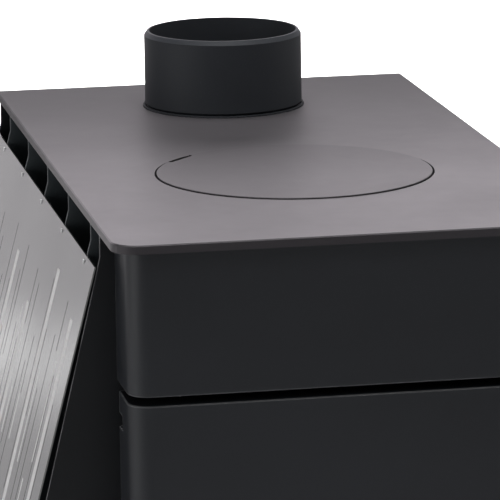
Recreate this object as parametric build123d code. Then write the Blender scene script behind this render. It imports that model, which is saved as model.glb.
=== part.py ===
from build123d import *
import math
import os

# A wood-burning heating stove with a cooking plate on top and flared side convectors.
# Lengths are in millimetres. While the parts are drawn, x runs to the right, y runs back
# from the front edge of the hotplate, and z runs up from the floor. At the end all parts
# move together, so that the origin lies under the middle of the whole stove.

# Hotplate
PLATE_W = 324.0
PLATE_D = 593.0
PLATE_T = 6.0
PLATE_CORNER_R = 18.0
PLATE_BEVEL = 0.8

# Lift-off lid in the hotplate
LID_D = 193.5
LID_GAP = 1.5
LID_PROUD = 0.8
LID_Y = 217.0
LID_SEAT = 12.0
LID_RING_T = 4.0
NOTCH_W = 29.0
NOTCH_DEPTH = 4.5
NOTCH_ANGLE = 138.5

# Flue collar
COLLAR_D = 120.0
COLLAR_WALL = 4.0
COLLAR_H = 58.0
COLLAR_FROM_BACK = 101.0
COLLAR_BEVEL_H = 3.2
COLLAR_BEVEL_IN = 2.2
PIPE_LEDGE = 2.0
WELD_LEG = 3.0

# Sheet casing at the front: header, door and drawer front share one plan outline
CASE_OVERHANG = 10.0
CASE_CORNER_R = 15.0
SHEET = 2.0
SHEET_BREAK = 0.6
HEADER_H = 98.0
SHADOW_GAP = 6.0
DOOR_H = 330.0
DRAWER_FRONT_H = 94.0

# Firebox welded from plate
WALL = 4.0
FRAME_T = 5.0
FRONT_END_Y = 64.0
BODY_INSET = 16.0
BODY_FROM_BACK = 21.0
SHELF_OVER_DOOR = 4.0
FRONT_OVER_BASE = 5.0

# Side convectors
FIN_T = 2.0
FIN_COUNT = 5
END_TO_FIN = 39.0
REAR_END_TO_FIN = 57.0
REAR_END_INSET = 2.0
FIN_KINK_DROP = 17.0
END_KINK_DROP = 20.5
PANEL_TOP_DROP = 27.0
PANEL_LEAN = 14.8
END_LEAN = 13.6
PANEL_T = 1.0
OVERALL_W = 500.0
SKIRT_RISE = 15.0
FIN_RISE = 6.0
TAB_H = 3.0
TAB_OUT = 0.3
TAB_PLAY = 0.3
TAB_FROM_TOP = 3.0
TAB_OVER_KNEE = 24.0

# Slits in the side panels
SLIT_W = 1.2
SLIT_PITCH = 17.0
SLIT_MARGIN = 26.0
SLIT_SHORT = 34.0
SLIT_LONG = 150.0
SLIT_DROP = 34.0
SLIT_STAGGER = 70.0
SLIT_TO_FIN = 5.0

# Door
WINDOW_MARGIN = 84.0
WINDOW_SILL = 60.0
WINDOW_R = 12.0
GLASS_LAP = 14.0
GLASS_T = 4.0
TAPE_T = 2.5
TAPE_LAP = 10.0
FLANGE_GAP = 7.0
GLASS_SIDE_GAP = 3.0
LINER_T = 4.0
LINER_GAP = 11.0
ROPE_LAND = 12.0
ROPE_CORNER_R = 20.0
MOUTH_SIDE = 52.0
MOUTH_MARGIN = 32.0

# Glass clips and liner fixings
CLIP_W = 14.0
CLIP_T = 2.0
CLIP_LAP = 9.0
CLIP_BOSS_R = 4.0
CLIP_INSET = 20.0
M4_R = 2.0
M4_HEAD_R = 3.6
M4_HEAD_H = 2.2
POST_R = 5.0
POST_INSET = 32.0
M5_R = 2.5
M5_HEAD_R = 4.5
M5_HEAD_H = 2.6
SCREW_PLAY = 0.2
SCREW_GRIP = 8.0

# Door hinges
HINGE_IN = 7.5
HINGE_FROM_EDGE = 7.0
HINGE_ARM_CLEAR = 6.0
HINGE_SLOT_CLEAR = 4.0
HINGE_DROP = 19.0
HINGE_NOTCH_H = 10.0
HINGE_NOTCH_DEPTH = 14.0
LUG_T = 7.0
LUG_HALF_W = 4.5
EAR_T = 5.0
PIN_R = 3.0
PIN_HEAD_R = 4.6
PIN_HEAD_H = 1.6
RUN_PLAY = 0.06
FIXED_PLAY = 0.02
REST_GAP = 0.3

# Door handle and latch
LATCH_TO_ROPE = 0.65
SPINDLE_R = 5.0
BUSH_R = 8.0
ROSETTE_R = 12.0
ROSETTE_T = 3.5
HUB_R = 10.0
GRIP_STANDOFF = 28.0
GRIP_R = 11.0
GRIP_L = 106.0
GRIP_DROP = 22.0
GRIP_SHOULDER = 40.0
GRIP_FOOT = 14.0
GRIP_NECK = 3.0
ROD_R = 5.0
CAP_H = 8.0
TONGUE_TIP_CLEAR = 1.05
TONGUE_W = 12.0
TONGUE_T = 5.0
TONGUE_HUB_R = 7.0
KEEPER_H = 40.0
KEEPER_CLEAR = 7.0
KEEPER_TO_SKIN = 1.5
KEEPER_T = 3.0
KEEPER_LIP_T = 4.0
KEEPER_LIP_W = 11.0
LATCH_CLEAR = 0.8

# Ash drawer and air slide
DRAWER_SIDE = 15.0
DRAWER_HEADROOM = 29.0
DRAWER_RISE = 3.0
DRAWER_REAR_GAP = 92.0
DRAWER_WALL = 1.5
DRAWER_CLEAR = 4.0
RUNNER_W = 12.0
AIR_SLOT_W = 12.0
AIR_SLOT_H = 24.0
AIR_PITCH = 28.0
AIR_COUNT = 5
AIR_DROP = 64.0
AIR_EDGE = 5.0
SLIDE_T = 2.0
GUIDE_T = 3.0
GUIDE_W = 6.0
KNOB_FROM_SLOTS = 20.0
KNOB_R = 7.0
KNOB_L = 13.0
KNOB_STEM_R = 3.0
PULL_SPAN = 100.0
PULL_R = 6.0
PULL_OVER = 20.0
PULL_STANDOFF = 26.0
PULL_POST_R = 4.0
PULL_DROP = 24.0

# Inside the firebox
GRATE_W = 140.0
GRATE_D = 260.0
GRATE_FROM_FRONT = 66.0
GRATE_T = 6.0
GRATE_LAP = 8.0
GRATE_BAR_H = 14.0
GRATE_SLOTS = 7
GRATE_SLOT_W = 10.0
BRICK_T = 25.0
BRICK_HEADROOM = 40.0
BRICK_BEVEL = 2.0
BRICK_COUNT = 3
BRICK_JOINT = 0.5
BAFFLE_UNDER_DOOR = 10.0
BAFFLE_T = 5.0
SMOKE_GAP = 126.0
BAFFLE_PLAY = 1.0
ANGLE_W = 20.0
ANGLE_T = 3.0
AIR_TUBE_D = 25.0
AIR_TUBE_WALL = 2.0
AIR_TUBE_HOLE_R = 3.0
AIR_TUBE_HOLES = 7
AIRWASH_D = 20.0

# Rear heat shield
SHIELD_T = 1.5
SHIELD_GAP = 15.0
SHIELD_SLOTS = 6
SHIELD_SLOT_W = 8.0
SHIELD_SLOT_H = 90.0
SPACER_R = 7.0
SPACER_SIDE = 31.0
SPACER_INSET = 60.0

# Stand
LEG_T = 4.0
LEG_IN = 24.0
LEG_H = 87.0
LEG_INSET = 40.0
LEG_ARCH_R = 30.0
LEG_FOOT_L = 90.0
SHOE_T = 8.0
SHOE_W = 44.0
PLINTH_T = 2.0
PLINTH_INSET = 30.0
PLINTH_RISE = 4.0

# Heights, worked out from the floor upwards
LEG_TOP = SHOE_T + LEG_H
BASE_Z = LEG_TOP
FLOOR_Z = BASE_Z + WALL
DRAWER_BOTTOM = BASE_Z + FRONT_OVER_BASE
DRAWER_TOP = DRAWER_BOTTOM + DRAWER_FRONT_H
DOOR_BOTTOM = DRAWER_TOP + SHADOW_GAP
DOOR_TOP = DOOR_BOTTOM + DOOR_H
HEADER_Z = DOOR_TOP + SHADOW_GAP
PLATE_BOTTOM = HEADER_Z + HEADER_H
TOP_Z = PLATE_BOTTOM + PLATE_T
SHELF_Z = DOOR_BOTTOM + SHELF_OVER_DOOR
SKIRT_BOTTOM_Z = BASE_Z + SKIRT_RISE

# Casing and firebox
CASE_X = PLATE_W / 2 - CASE_OVERHANG
CASE_Y = CASE_OVERHANG
BODY_X = CASE_X - BODY_INSET
BODY_IN_X = BODY_X - WALL
FRAME_Y = FRONT_END_Y - FRAME_T
FLANGE_Y = FRONT_END_Y - FLANGE_GAP
BODY_BACK_Y = PLATE_D - BODY_FROM_BACK
BACK_IN_Y = BODY_BACK_Y - WALL
LID_R = LID_D / 2
COLLAR_R = COLLAR_D / 2
COLLAR_IN_R = COLLAR_R - COLLAR_WALL
COLLAR_Y = PLATE_D - COLLAR_FROM_BACK
BAFFLE_Z = DOOR_TOP - BAFFLE_UNDER_DOOR
BAFFLE_FRONT_Y = FRONT_END_Y + SMOKE_GAP
TUBE_Z = BAFFLE_Z - ANGLE_W - AIR_TUBE_D / 2 - BAFFLE_PLAY
BRICK_TOP = TUBE_Z - AIR_TUBE_D / 2 - BRICK_HEADROOM
GRATE_Y = FRONT_END_Y + GRATE_FROM_FRONT + GRATE_D / 2

# Mouth, seal, latch and window, from the middle outwards and back again
MOUTH_W = 2 * (CASE_X - MOUTH_SIDE)
MOUTH_TOP = DOOR_TOP - MOUTH_MARGIN
MOUTH_H = DOOR_H - 2 * MOUTH_MARGIN
MOUTH_Z = MOUTH_TOP - MOUTH_H / 2
LINER_Y = FRAME_Y - LINER_GAP - LINER_T
LINER_BACK = LINER_Y + LINER_T
ROPE_D = LINER_GAP - REST_GAP
LATCH_X = MOUTH_W / 2 + ROPE_LAND + ROPE_D / 2 + LATCH_TO_ROPE + TONGUE_HUB_R
LATCH_Z = (DOOR_TOP + DOOR_BOTTOM) / 2
TONGUE_Y = LINER_BACK + REST_GAP
KEEPER_OUT_X = CASE_X - SHEET - KEEPER_TO_SKIN
TONGUE_REACH = KEEPER_OUT_X - KEEPER_T - TONGUE_TIP_CLEAR - LATCH_X
TONGUE_L = math.sqrt(TONGUE_REACH ** 2 - (TONGUE_W / 2) ** 2)
WINDOW_W = 2 * (LATCH_X - BUSH_R - GLASS_SIDE_GAP - GLASS_LAP)
WINDOW_TOP = DOOR_TOP - WINDOW_MARGIN
WINDOW_H = DOOR_H - WINDOW_MARGIN - WINDOW_SILL
WINDOW_Z = WINDOW_TOP - WINDOW_H / 2
GLASS_W = WINDOW_W + 2 * GLASS_LAP
GLASS_H = WINDOW_H + 2 * GLASS_LAP
GLASS_Y = CASE_Y + SHEET + TAPE_T
GLASS_BACK = GLASS_Y + GLASS_T
HINGE_X = -(CASE_X - HINGE_IN)
HINGE_Y = FLANGE_Y - HINGE_FROM_EDGE
HINGE_ZS = (DOOR_TOP - HINGE_DROP, DOOR_BOTTOM + HINGE_DROP)
GRIP_Y = CASE_Y - GRIP_STANDOFF
GRIP_TOP = LATCH_Z - GRIP_DROP
GRIP_BOTTOM = GRIP_TOP - GRIP_L

# Drawer
DRAWER_W = 2 * (BODY_IN_X - DRAWER_SIDE)
DRAWER_Z = DRAWER_BOTTOM + DRAWER_RISE
DRAWER_BOX_TOP = DRAWER_TOP - DRAWER_HEADROOM
DRAWER_BACK_Y = BODY_BACK_Y - DRAWER_REAR_GAP
RUNNER_TOP = DRAWER_Z - REST_GAP
GUIDE_Y = CASE_Y + SHEET
AIR_Z = DRAWER_TOP - AIR_DROP
AIR_REACH = AIR_COUNT * AIR_PITCH / 2
AIR_TRAVEL = AIR_PITCH / 2
KNOB_X = AIR_REACH + KNOB_FROM_SLOTS
PULL_Z = DRAWER_TOP - PULL_DROP
PULL_Y = CASE_Y - PULL_STANDOFF

# Convectors and rear shield
REAR_END_Y = BODY_BACK_Y - REAR_END_INSET
FIN_FIRST_Y = FRONT_END_Y + END_TO_FIN
FIN_PITCH = (REAR_END_Y - REAR_END_TO_FIN - FIN_FIRST_Y) / (FIN_COUNT - 1)
PANEL_X = PLATE_W / 2
SLOPE = math.tan(math.radians(PANEL_LEAN))
END_SLOPE = math.tan(math.radians(END_LEAN))
KINK_Z = TOP_Z - FIN_KINK_DROP
PANEL_TOP_Z = TOP_Z - PANEL_TOP_DROP
KNEE_X = OVERALL_W / 2 - PANEL_T
KNEE_Z = KINK_Z - (KNEE_X - PANEL_X) / SLOPE
SHIELD_Y = BODY_BACK_Y + SHIELD_GAP
SPACER_X = BODY_X - SPACER_SIDE
LEG_X = BODY_X - LEG_IN


def block(x0, x1, y0, y1, z0, z1):
    middle = Pos((x0 + x1) / 2, (y0 + y1) / 2, (z0 + z1) / 2)
    return middle * Box(x1 - x0, y1 - y0, z1 - z0)


def rod_x(x0, x1, y, z, radius):
    return Pos((x0 + x1) / 2, y, z) * Rot(0, 90, 0) * Cylinder(radius, x1 - x0)


def rod_y(x, y0, y1, z, radius):
    return Pos(x, (y0 + y1) / 2, z) * Rot(90, 0, 0) * Cylinder(radius, y1 - y0)


def rod_z(x, y, z0, z1, radius):
    return Pos(x, y, (z0 + z1) / 2) * Cylinder(radius, z1 - z0)


def mirrored(shape):
    return mirror(shape, about=Plane.YZ)


def window_block(width, height, y0, y1, z, radius):
    # An upright rounded rectangle, run from y0 to y1, centred on x = 0
    body = block(-width / 2, width / 2, y0, y1, z - height / 2, z + height / 2)
    return fillet(body.edges().filter_by(Axis.Y), radius)


def case_block(inset, y_back, z0, z1):
    # The plan outline that the header, the door and the drawer front share
    half = CASE_X - inset
    body = block(-half, half, CASE_Y + inset, y_back, z0, z1)
    front = body.edges().filter_by(Axis.Z).group_by(Axis.Y)[0]
    return fillet(front, CASE_CORNER_R - inset)


def soften_front(body, z0, z1):
    # Takes the sharp corner off the long top and bottom edges of a front sheet
    outline = [edge for edge in body.edges().filter_by(Plane.XY)
               if edge.center().Y < CASE_Y + CASE_CORNER_R
               and min(abs(edge.center().Z - z0), abs(edge.center().Z - z1)) < 0.01]
    return chamfer(outline, SHEET_BREAK)


# Top of the stove

def hob_plate():
    plate = block(-PLATE_W / 2, PLATE_W / 2, 0, PLATE_D, PLATE_BOTTOM, TOP_Z)
    front = plate.edges().filter_by(Axis.Z).group_by(Axis.Y)[0]
    plate = fillet(front, PLATE_CORNER_R)
    plate = chamfer(plate.faces().sort_by(Axis.Z)[-1].outer_wire().edges(), PLATE_BEVEL)
    plate -= rod_z(0, LID_Y, PLATE_BOTTOM, TOP_Z, LID_R + LID_GAP)
    plate -= rod_z(0, COLLAR_Y, PLATE_BOTTOM, TOP_Z, COLLAR_IN_R - PIPE_LEDGE)
    return plate


def hob_lid():
    # The lid is a little thicker than the plate, so its rim stands proud
    lid = rod_z(0, LID_Y, PLATE_BOTTOM, TOP_Z + LID_PROUD, LID_R)
    lid = chamfer(lid.edges().filter_by(GeomType.CIRCLE).sort_by(Axis.Z)[-1], PLATE_BEVEL / 2)
    notch = Box(2 * NOTCH_DEPTH, NOTCH_W, 3 * PLATE_T)
    notch = fillet(notch.edges().filter_by(Axis.Z), NOTCH_DEPTH / 2)
    return lid - Pos(0, LID_Y, TOP_Z) * Rot(0, 0, NOTCH_ANGLE) * Pos(LID_R, 0, 0) * notch


def lid_support_ring():
    ring_z = PLATE_BOTTOM - LID_RING_T
    ring = rod_z(0, LID_Y, ring_z, PLATE_BOTTOM, LID_R + LID_SEAT)
    return ring - rod_z(0, LID_Y, ring_z, PLATE_BOTTOM, LID_R - LID_SEAT)


def flue_collar():
    tube = rod_z(0, COLLAR_Y, TOP_Z, TOP_Z + COLLAR_H, COLLAR_R)
    rim = tube.edges().filter_by(GeomType.CIRCLE).sort_by(Axis.Z)[-1]
    side = tube.faces().filter_by(GeomType.CYLINDER)[0]
    tube = chamfer(rim, COLLAR_BEVEL_H, COLLAR_BEVEL_IN, reference=side)
    tube = chamfer(tube.edges().group_by(Axis.Z)[0], WELD_LEG)
    return tube - rod_z(0, COLLAR_Y, TOP_Z, TOP_Z + COLLAR_H, COLLAR_IN_R)


def flue_collar_weld():
    corner = Plane.XZ * Polyline((COLLAR_R - WELD_LEG, TOP_Z), (COLLAR_R + WELD_LEG, TOP_Z),
                                 (COLLAR_R, TOP_Z + WELD_LEG), close=True)
    return Pos(0, COLLAR_Y, 0) * revolve(make_face(corner), Axis.Z)


# Firebox

def front_frame():
    frame = block(-BODY_X, BODY_X, FRAME_Y, FRONT_END_Y, BASE_Z, PLATE_BOTTOM)
    frame -= window_block(MOUTH_W, MOUTH_H, FRAME_Y, FRONT_END_Y, MOUTH_Z, WINDOW_R)
    half = DRAWER_W / 2 + DRAWER_CLEAR
    frame -= block(-half, half, FRAME_Y, FRONT_END_Y,
                   FLOOR_Z, DRAWER_BOX_TOP + DRAWER_CLEAR)
    return frame


def firebox_wall_left():
    # The afterburning tubes draw their air through holes in the wall
    wall = block(-BODY_X, -BODY_IN_X, FRONT_END_Y, BODY_BACK_Y, BASE_Z, PLATE_BOTTOM)
    for y in tube_ys():
        wall -= rod_x(-BODY_X, -BODY_IN_X, y, TUBE_Z, AIR_TUBE_D / 2 + FIXED_PLAY)
    return wall


def firebox_back():
    return block(-BODY_IN_X, BODY_IN_X, BACK_IN_Y, BODY_BACK_Y, BASE_Z, PLATE_BOTTOM)


def firebox_floor():
    return block(-BODY_IN_X, BODY_IN_X, FRONT_END_Y, BACK_IN_Y, BASE_Z, FLOOR_Z)


def grate_shelf():
    shelf = block(-BODY_IN_X, BODY_IN_X, FRONT_END_Y, BACK_IN_Y, SHELF_Z - WALL, SHELF_Z)
    return shelf - block(-GRATE_W / 2, GRATE_W / 2, GRATE_Y - GRATE_D / 2,
                         GRATE_Y + GRATE_D / 2, SHELF_Z - WALL, SHELF_Z)


def grate():
    half_w = GRATE_W / 2
    half_d = GRATE_D / 2
    rim = block(-half_w - GRATE_LAP, half_w + GRATE_LAP, GRATE_Y - half_d - GRATE_LAP,
                GRATE_Y + half_d + GRATE_LAP, SHELF_Z, SHELF_Z + GRATE_T)
    rim = fillet(rim.edges().filter_by(Axis.Z), GRATE_LAP)
    deep = block(-half_w + 1, half_w - 1, GRATE_Y - half_d + 1, GRATE_Y + half_d - 1,
                 SHELF_Z + GRATE_T - GRATE_BAR_H, SHELF_Z)
    body = rim + deep
    step = GRATE_W / GRATE_SLOTS
    slot_half = half_d - GRATE_LAP - GRATE_SLOT_W
    for i in range(GRATE_SLOTS):
        x = -half_w + step * (i + 0.5)
        slot = block(x - GRATE_SLOT_W / 2, x + GRATE_SLOT_W / 2, GRATE_Y - slot_half,
                     GRATE_Y + slot_half, SHELF_Z - GRATE_BAR_H, SHELF_Z + GRATE_T)
        body -= slot
    return body


def side_bricks():
    # One row of upright bricks along the left wall
    length = (BACK_IN_Y - FRONT_END_Y - REST_GAP) / BRICK_COUNT
    bricks = []
    for i in range(BRICK_COUNT):
        y = FRONT_END_Y + REST_GAP + i * length
        brick = block(-BODY_IN_X, -BODY_IN_X + BRICK_T, y, y + length - BRICK_JOINT,
                      SHELF_Z, BRICK_TOP)
        bricks.append(chamfer(brick.edges().group_by(Axis.Z)[-1], BRICK_BEVEL))
    return bricks


def back_brick():
    half = BODY_IN_X - BRICK_T - BRICK_JOINT
    brick = block(-half, half, BACK_IN_Y - BRICK_T, BACK_IN_Y, SHELF_Z, BRICK_TOP)
    return chamfer(brick.edges().group_by(Axis.Z)[-1], BRICK_BEVEL)


def baffle_plate():
    half = BODY_IN_X - BAFFLE_PLAY
    return block(-half, half, BAFFLE_FRONT_Y, BACK_IN_Y - BAFFLE_PLAY,
                 BAFFLE_Z + REST_GAP, BAFFLE_Z + REST_GAP + BAFFLE_T)


def baffle_rest():
    # An angle on the left wall that the loose baffle lies on
    inner = -BODY_IN_X + ANGLE_W
    rest = block(-BODY_IN_X, inner, BAFFLE_FRONT_Y, BACK_IN_Y, BAFFLE_Z - ANGLE_W, BAFFLE_Z)
    return rest - block(-BODY_IN_X + ANGLE_T, inner, BAFFLE_FRONT_Y, BACK_IN_Y,
                        BAFFLE_Z - ANGLE_W, BAFFLE_Z - ANGLE_T)


def tube_ys():
    # Two tubes, each in the middle between two fins
    return [FIN_FIRST_Y + (i + 0.5) * FIN_PITCH + FIN_T / 2 for i in (1, 2)]


def afterburn_tube(y):
    radius = AIR_TUBE_D / 2
    tube = rod_x(-BODY_X, BODY_X, y, TUBE_Z, radius)
    tube -= rod_x(-BODY_X, BODY_X, y, TUBE_Z, radius - AIR_TUBE_WALL)
    step = 2 * (BODY_IN_X - BRICK_T) / AIR_TUBE_HOLES
    for i in range(AIR_TUBE_HOLES):
        x = -BODY_IN_X + BRICK_T + step * (i + 0.5)
        tube -= rod_y(x, y - radius - 1, y, TUBE_Z, AIR_TUBE_HOLE_R)
    return tube


def airwash_deflector():
    top = MOUTH_TOP + ANGLE_T
    plate = block(-BODY_IN_X, BODY_IN_X, FRONT_END_Y, FRONT_END_Y + AIRWASH_D, top, top + ANGLE_T)
    lip = block(-BODY_IN_X, BODY_IN_X, FRONT_END_Y + AIRWASH_D - ANGLE_T,
                FRONT_END_Y + AIRWASH_D, top - AIRWASH_D, top)
    return plate + lip


# Sheet casing

def header_panel():
    body = case_block(0, FRONT_END_Y, HEADER_Z, PLATE_BOTTOM)
    body -= case_block(SHEET, FRONT_END_Y, HEADER_Z, PLATE_BOTTOM)
    return soften_front(body, HEADER_Z, HEADER_Z)


def tray(z0, z1):
    # A pressed tray, open at the back, with a flange on all four sides
    body = case_block(0, FLANGE_Y, z0, z1)
    body = soften_front(body, z0, z1)
    return body - case_block(SHEET, FLANGE_Y, z0 + SHEET, z1 - SHEET)


def hinge_notch(z):
    return block(-CASE_X - 1, -CASE_X + SHEET + 1, FLANGE_Y - HINGE_NOTCH_DEPTH, FLANGE_Y,
                 z - HINGE_NOTCH_H / 2, z + HINGE_NOTCH_H / 2)


def door_skin():
    skin = tray(DOOR_BOTTOM, DOOR_TOP)
    skin -= window_block(WINDOW_W, WINDOW_H, CASE_Y - 1, CASE_Y + SHEET + 1, WINDOW_Z, WINDOW_R)
    skin -= rod_y(LATCH_X, CASE_Y, CASE_Y + SHEET, LATCH_Z, SPINDLE_R + SHEET / 4)
    for z in HINGE_ZS:
        skin -= hinge_notch(z)
    return skin


def post_places():
    return [(x, z) for x in (-LATCH_X, LATCH_X)
            for z in (DOOR_TOP - POST_INSET, DOOR_BOTTOM + POST_INSET)]


def door_liner():
    half = CASE_X - SHEET
    liner = block(-half, half, LINER_Y, LINER_BACK, DOOR_BOTTOM + SHEET, DOOR_TOP - SHEET)
    liner -= window_block(MOUTH_W, WINDOW_H, LINER_Y, LINER_BACK, WINDOW_Z, WINDOW_R)
    ear_x = HINGE_X + LUG_HALF_W + HINGE_ARM_CLEAR
    reach = EAR_T + LUG_T / 2 + HINGE_SLOT_CLEAR
    for z in HINGE_ZS:
        liner -= block(-half, ear_x, LINER_Y, LINER_BACK, z - reach, z + reach)
    liner -= block(LATCH_X + BUSH_R - 0.5, half, LINER_Y, LINER_BACK,
                   LATCH_Z - KEEPER_H / 2 - KEEPER_CLEAR, LATCH_Z + KEEPER_H / 2 + KEEPER_CLEAR)
    liner -= rod_y(LATCH_X, LINER_Y, LINER_BACK, LATCH_Z, SPINDLE_R + SHEET / 4)
    for x, z in post_places():
        liner -= rod_y(x, LINER_Y, LINER_BACK, z, M5_R + SCREW_PLAY)
    return liner


def liner_posts():
    posts = []
    for x, z in post_places():
        post = rod_y(x, CASE_Y + SHEET, LINER_Y, z, POST_R)
        posts.append(post - rod_y(x, LINER_Y - SCREW_GRIP - 2, LINER_Y, z, M5_R + FIXED_PLAY))
    return posts


def liner_screws():
    screws = []
    for x, z in post_places():
        head = rod_y(x, LINER_BACK, LINER_BACK + M5_HEAD_H, z, M5_HEAD_R)
        head = fillet(head.edges().sort_by(Axis.Y)[-1], M5_HEAD_H / 2)
        head -= socket(x, LINER_BACK + M5_HEAD_H, z, M5_R)
        screws.append(head + rod_y(x, LINER_Y - SCREW_GRIP, LINER_BACK, z, M5_R))
    return screws


def socket(x, y_face, z, size):
    # Hexagon socket, sunk into the back face of a screw head
    depth = size / 2
    return Pos(x, y_face, z) * Rot(90, 0, 0) * extrude(RegularPolygon(size * 0.8, 6), depth)


def rope_ring():
    # Rope seal on the back of the door, round the mouth of the firebox
    half_w = MOUTH_W / 2 + ROPE_LAND
    half_h = MOUTH_H / 2 + ROPE_LAND
    centre = LINER_BACK + ROPE_D / 2
    path = Plane(origin=(0, centre, MOUTH_Z), x_dir=(1, 0, 0), z_dir=(0, -1, 0))
    line = path * RectangleRounded(2 * half_w, 2 * half_h, ROPE_CORNER_R).wire()
    start = line.edges().filter_by(GeomType.LINE).sort_by(Axis.Z)[0]
    section = Plane(origin=start @ 0.5, z_dir=start % 0.5) * Circle(ROPE_D / 2)
    return sweep(section, path=line)


def door_glass():
    return window_block(GLASS_W, GLASS_H, GLASS_Y, GLASS_BACK, WINDOW_Z, WINDOW_R)


def glass_tape():
    outer = window_block(WINDOW_W + 2 * TAPE_LAP, WINDOW_H + 2 * TAPE_LAP,
                         CASE_Y + SHEET, GLASS_Y, WINDOW_Z, WINDOW_R)
    return outer - window_block(WINDOW_W + 2, WINDOW_H + 2, CASE_Y + SHEET, GLASS_Y,
                                WINDOW_Z, WINDOW_R)


def clip_places():
    # Three clips above the glass and three below it, as x and the side that they lie on
    spread = WINDOW_W / 2 - CLIP_INSET
    return [(x, side) for side in (-1, 1) for x in (-spread, 0, spread)]


def clip_boss_z(side):
    return WINDOW_Z + side * (GLASS_H / 2 + CLIP_BOSS_R + 2)


def glass_clips():
    clips = []
    for x, side in clip_places():
        inner = WINDOW_Z + side * (GLASS_H / 2 - CLIP_LAP)
        outer = clip_boss_z(side) + side * CLIP_BOSS_R
        clip = block(x - CLIP_W / 2, x + CLIP_W / 2, GLASS_BACK, GLASS_BACK + CLIP_T,
                     min(inner, outer), max(inner, outer))
        clip = fillet(clip.edges().filter_by(Axis.Y), 3)
        clips.append(clip - rod_y(x, GLASS_BACK, GLASS_BACK + CLIP_T, clip_boss_z(side),
                                  M4_R + SCREW_PLAY))
    return clips


def glass_clip_bosses():
    bosses = []
    for x, side in clip_places():
        z = clip_boss_z(side)
        boss = rod_y(x, CASE_Y + SHEET, GLASS_BACK, z, CLIP_BOSS_R)
        bosses.append(boss - rod_y(x, CASE_Y + SHEET + 1, GLASS_BACK, z, M4_R + FIXED_PLAY))
    return bosses


def glass_clip_screws():
    screws = []
    back = GLASS_BACK + CLIP_T
    for x, side in clip_places():
        z = clip_boss_z(side)
        head = rod_y(x, back, back + M4_HEAD_H, z, M4_HEAD_R)
        head = fillet(head.edges().sort_by(Axis.Y)[-1], M4_HEAD_H / 2)
        head -= socket(x, back + M4_HEAD_H, z, M4_R)
        screws.append(head + rod_y(x, CASE_Y + SHEET + 2, back, z, M4_R))
    return screws


# Hinges

def hinge_lugs():
    lugs = []
    for z in HINGE_ZS:
        low = z - LUG_T / 2
        high = z + LUG_T / 2
        arm = block(HINGE_X - LUG_HALF_W, HINGE_X + LUG_HALF_W, HINGE_Y, FRONT_END_Y, low, high)
        arm += rod_z(HINGE_X, HINGE_Y, low, high, LUG_HALF_W)
        lugs.append(arm - rod_z(HINGE_X, HINGE_Y, low, high, PIN_R + RUN_PLAY))
    return lugs


def ear_levels(z):
    # The two ears of one hinge, just above and just below its lug
    above = z + LUG_T / 2 + REST_GAP
    below = z - LUG_T / 2 - REST_GAP - EAR_T
    return [above, below]


def door_hinge_ears():
    ears = []
    inner = -CASE_X + SHEET
    for z in HINGE_ZS:
        for low in ear_levels(z):
            ear = block(inner, HINGE_X, HINGE_Y - LUG_HALF_W, HINGE_Y + LUG_HALF_W,
                        low, low + EAR_T)
            ear += rod_z(HINGE_X, HINGE_Y, low, low + EAR_T, LUG_HALF_W)
            ears.append(ear - rod_z(HINGE_X, HINGE_Y, low, low + EAR_T, PIN_R + FIXED_PLAY))
    return ears


def door_hinge_pins():
    pins = []
    for z in HINGE_ZS:
        top = ear_levels(z)[0] + EAR_T
        bottom = ear_levels(z)[1] - 1
        pin = rod_z(HINGE_X, HINGE_Y, bottom, top, PIN_R)
        pins.append(pin + rod_z(HINGE_X, HINGE_Y, top, top + PIN_HEAD_H, PIN_HEAD_R))
    return pins


# Handle and latch

def latch_bushing():
    bush = rod_y(LATCH_X, CASE_Y + SHEET, LINER_Y, LATCH_Z, BUSH_R)
    return bush - rod_y(LATCH_X, CASE_Y + SHEET, LINER_Y, LATCH_Z, SPINDLE_R + RUN_PLAY)


def handle_rosette():
    disc = rod_y(LATCH_X, CASE_Y - ROSETTE_T, CASE_Y, LATCH_Z, ROSETTE_R)
    disc = chamfer(disc.edges().sort_by(Axis.Y)[0], ROSETTE_T / 3)
    return disc - rod_y(LATCH_X, CASE_Y - ROSETTE_T, CASE_Y, LATCH_Z, SPINDLE_R + SHEET / 4)


def latch_spindle():
    return rod_y(LATCH_X, GRIP_Y + HUB_R, TONGUE_Y + TONGUE_T, LATCH_Z, SPINDLE_R)


def latch_tongue():
    # Points up while the latch is free, and turns to the side behind the keeper's lip
    half = TONGUE_W / 2
    back = TONGUE_Y + TONGUE_T
    tongue = block(LATCH_X - half, LATCH_X + half, TONGUE_Y, back, LATCH_Z, LATCH_Z + TONGUE_L)
    tongue += rod_y(LATCH_X, TONGUE_Y, back, LATCH_Z, TONGUE_HUB_R)
    return tongue - rod_y(LATCH_X, TONGUE_Y, back, LATCH_Z, SPINDLE_R + FIXED_PLAY)


def latch_keeper():
    front = TONGUE_Y - LATCH_CLEAR - KEEPER_LIP_T
    outer = KEEPER_OUT_X
    low = LATCH_Z - KEEPER_H / 2
    high = LATCH_Z + KEEPER_H / 2
    web = block(outer - KEEPER_T, outer, front, FRONT_END_Y, low, high)
    lip = block(outer - KEEPER_LIP_W, outer - KEEPER_T, front, front + KEEPER_LIP_T, low, high)
    return web + lip


def handle_lever():
    # Hub on the spindle and a rod that hangs from it
    hub = rod_y(LATCH_X, GRIP_Y - HUB_R, CASE_Y - ROSETTE_T - REST_GAP, LATCH_Z, HUB_R)
    hub = fillet(hub.edges().sort_by(Axis.Y)[0], 3)
    hub -= rod_y(LATCH_X, GRIP_Y + HUB_R, CASE_Y, LATCH_Z, SPINDLE_R + FIXED_PLAY)
    return hub + rod_z(LATCH_X, GRIP_Y, GRIP_BOTTOM, LATCH_Z - HUB_R / 2, ROD_R)


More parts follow.
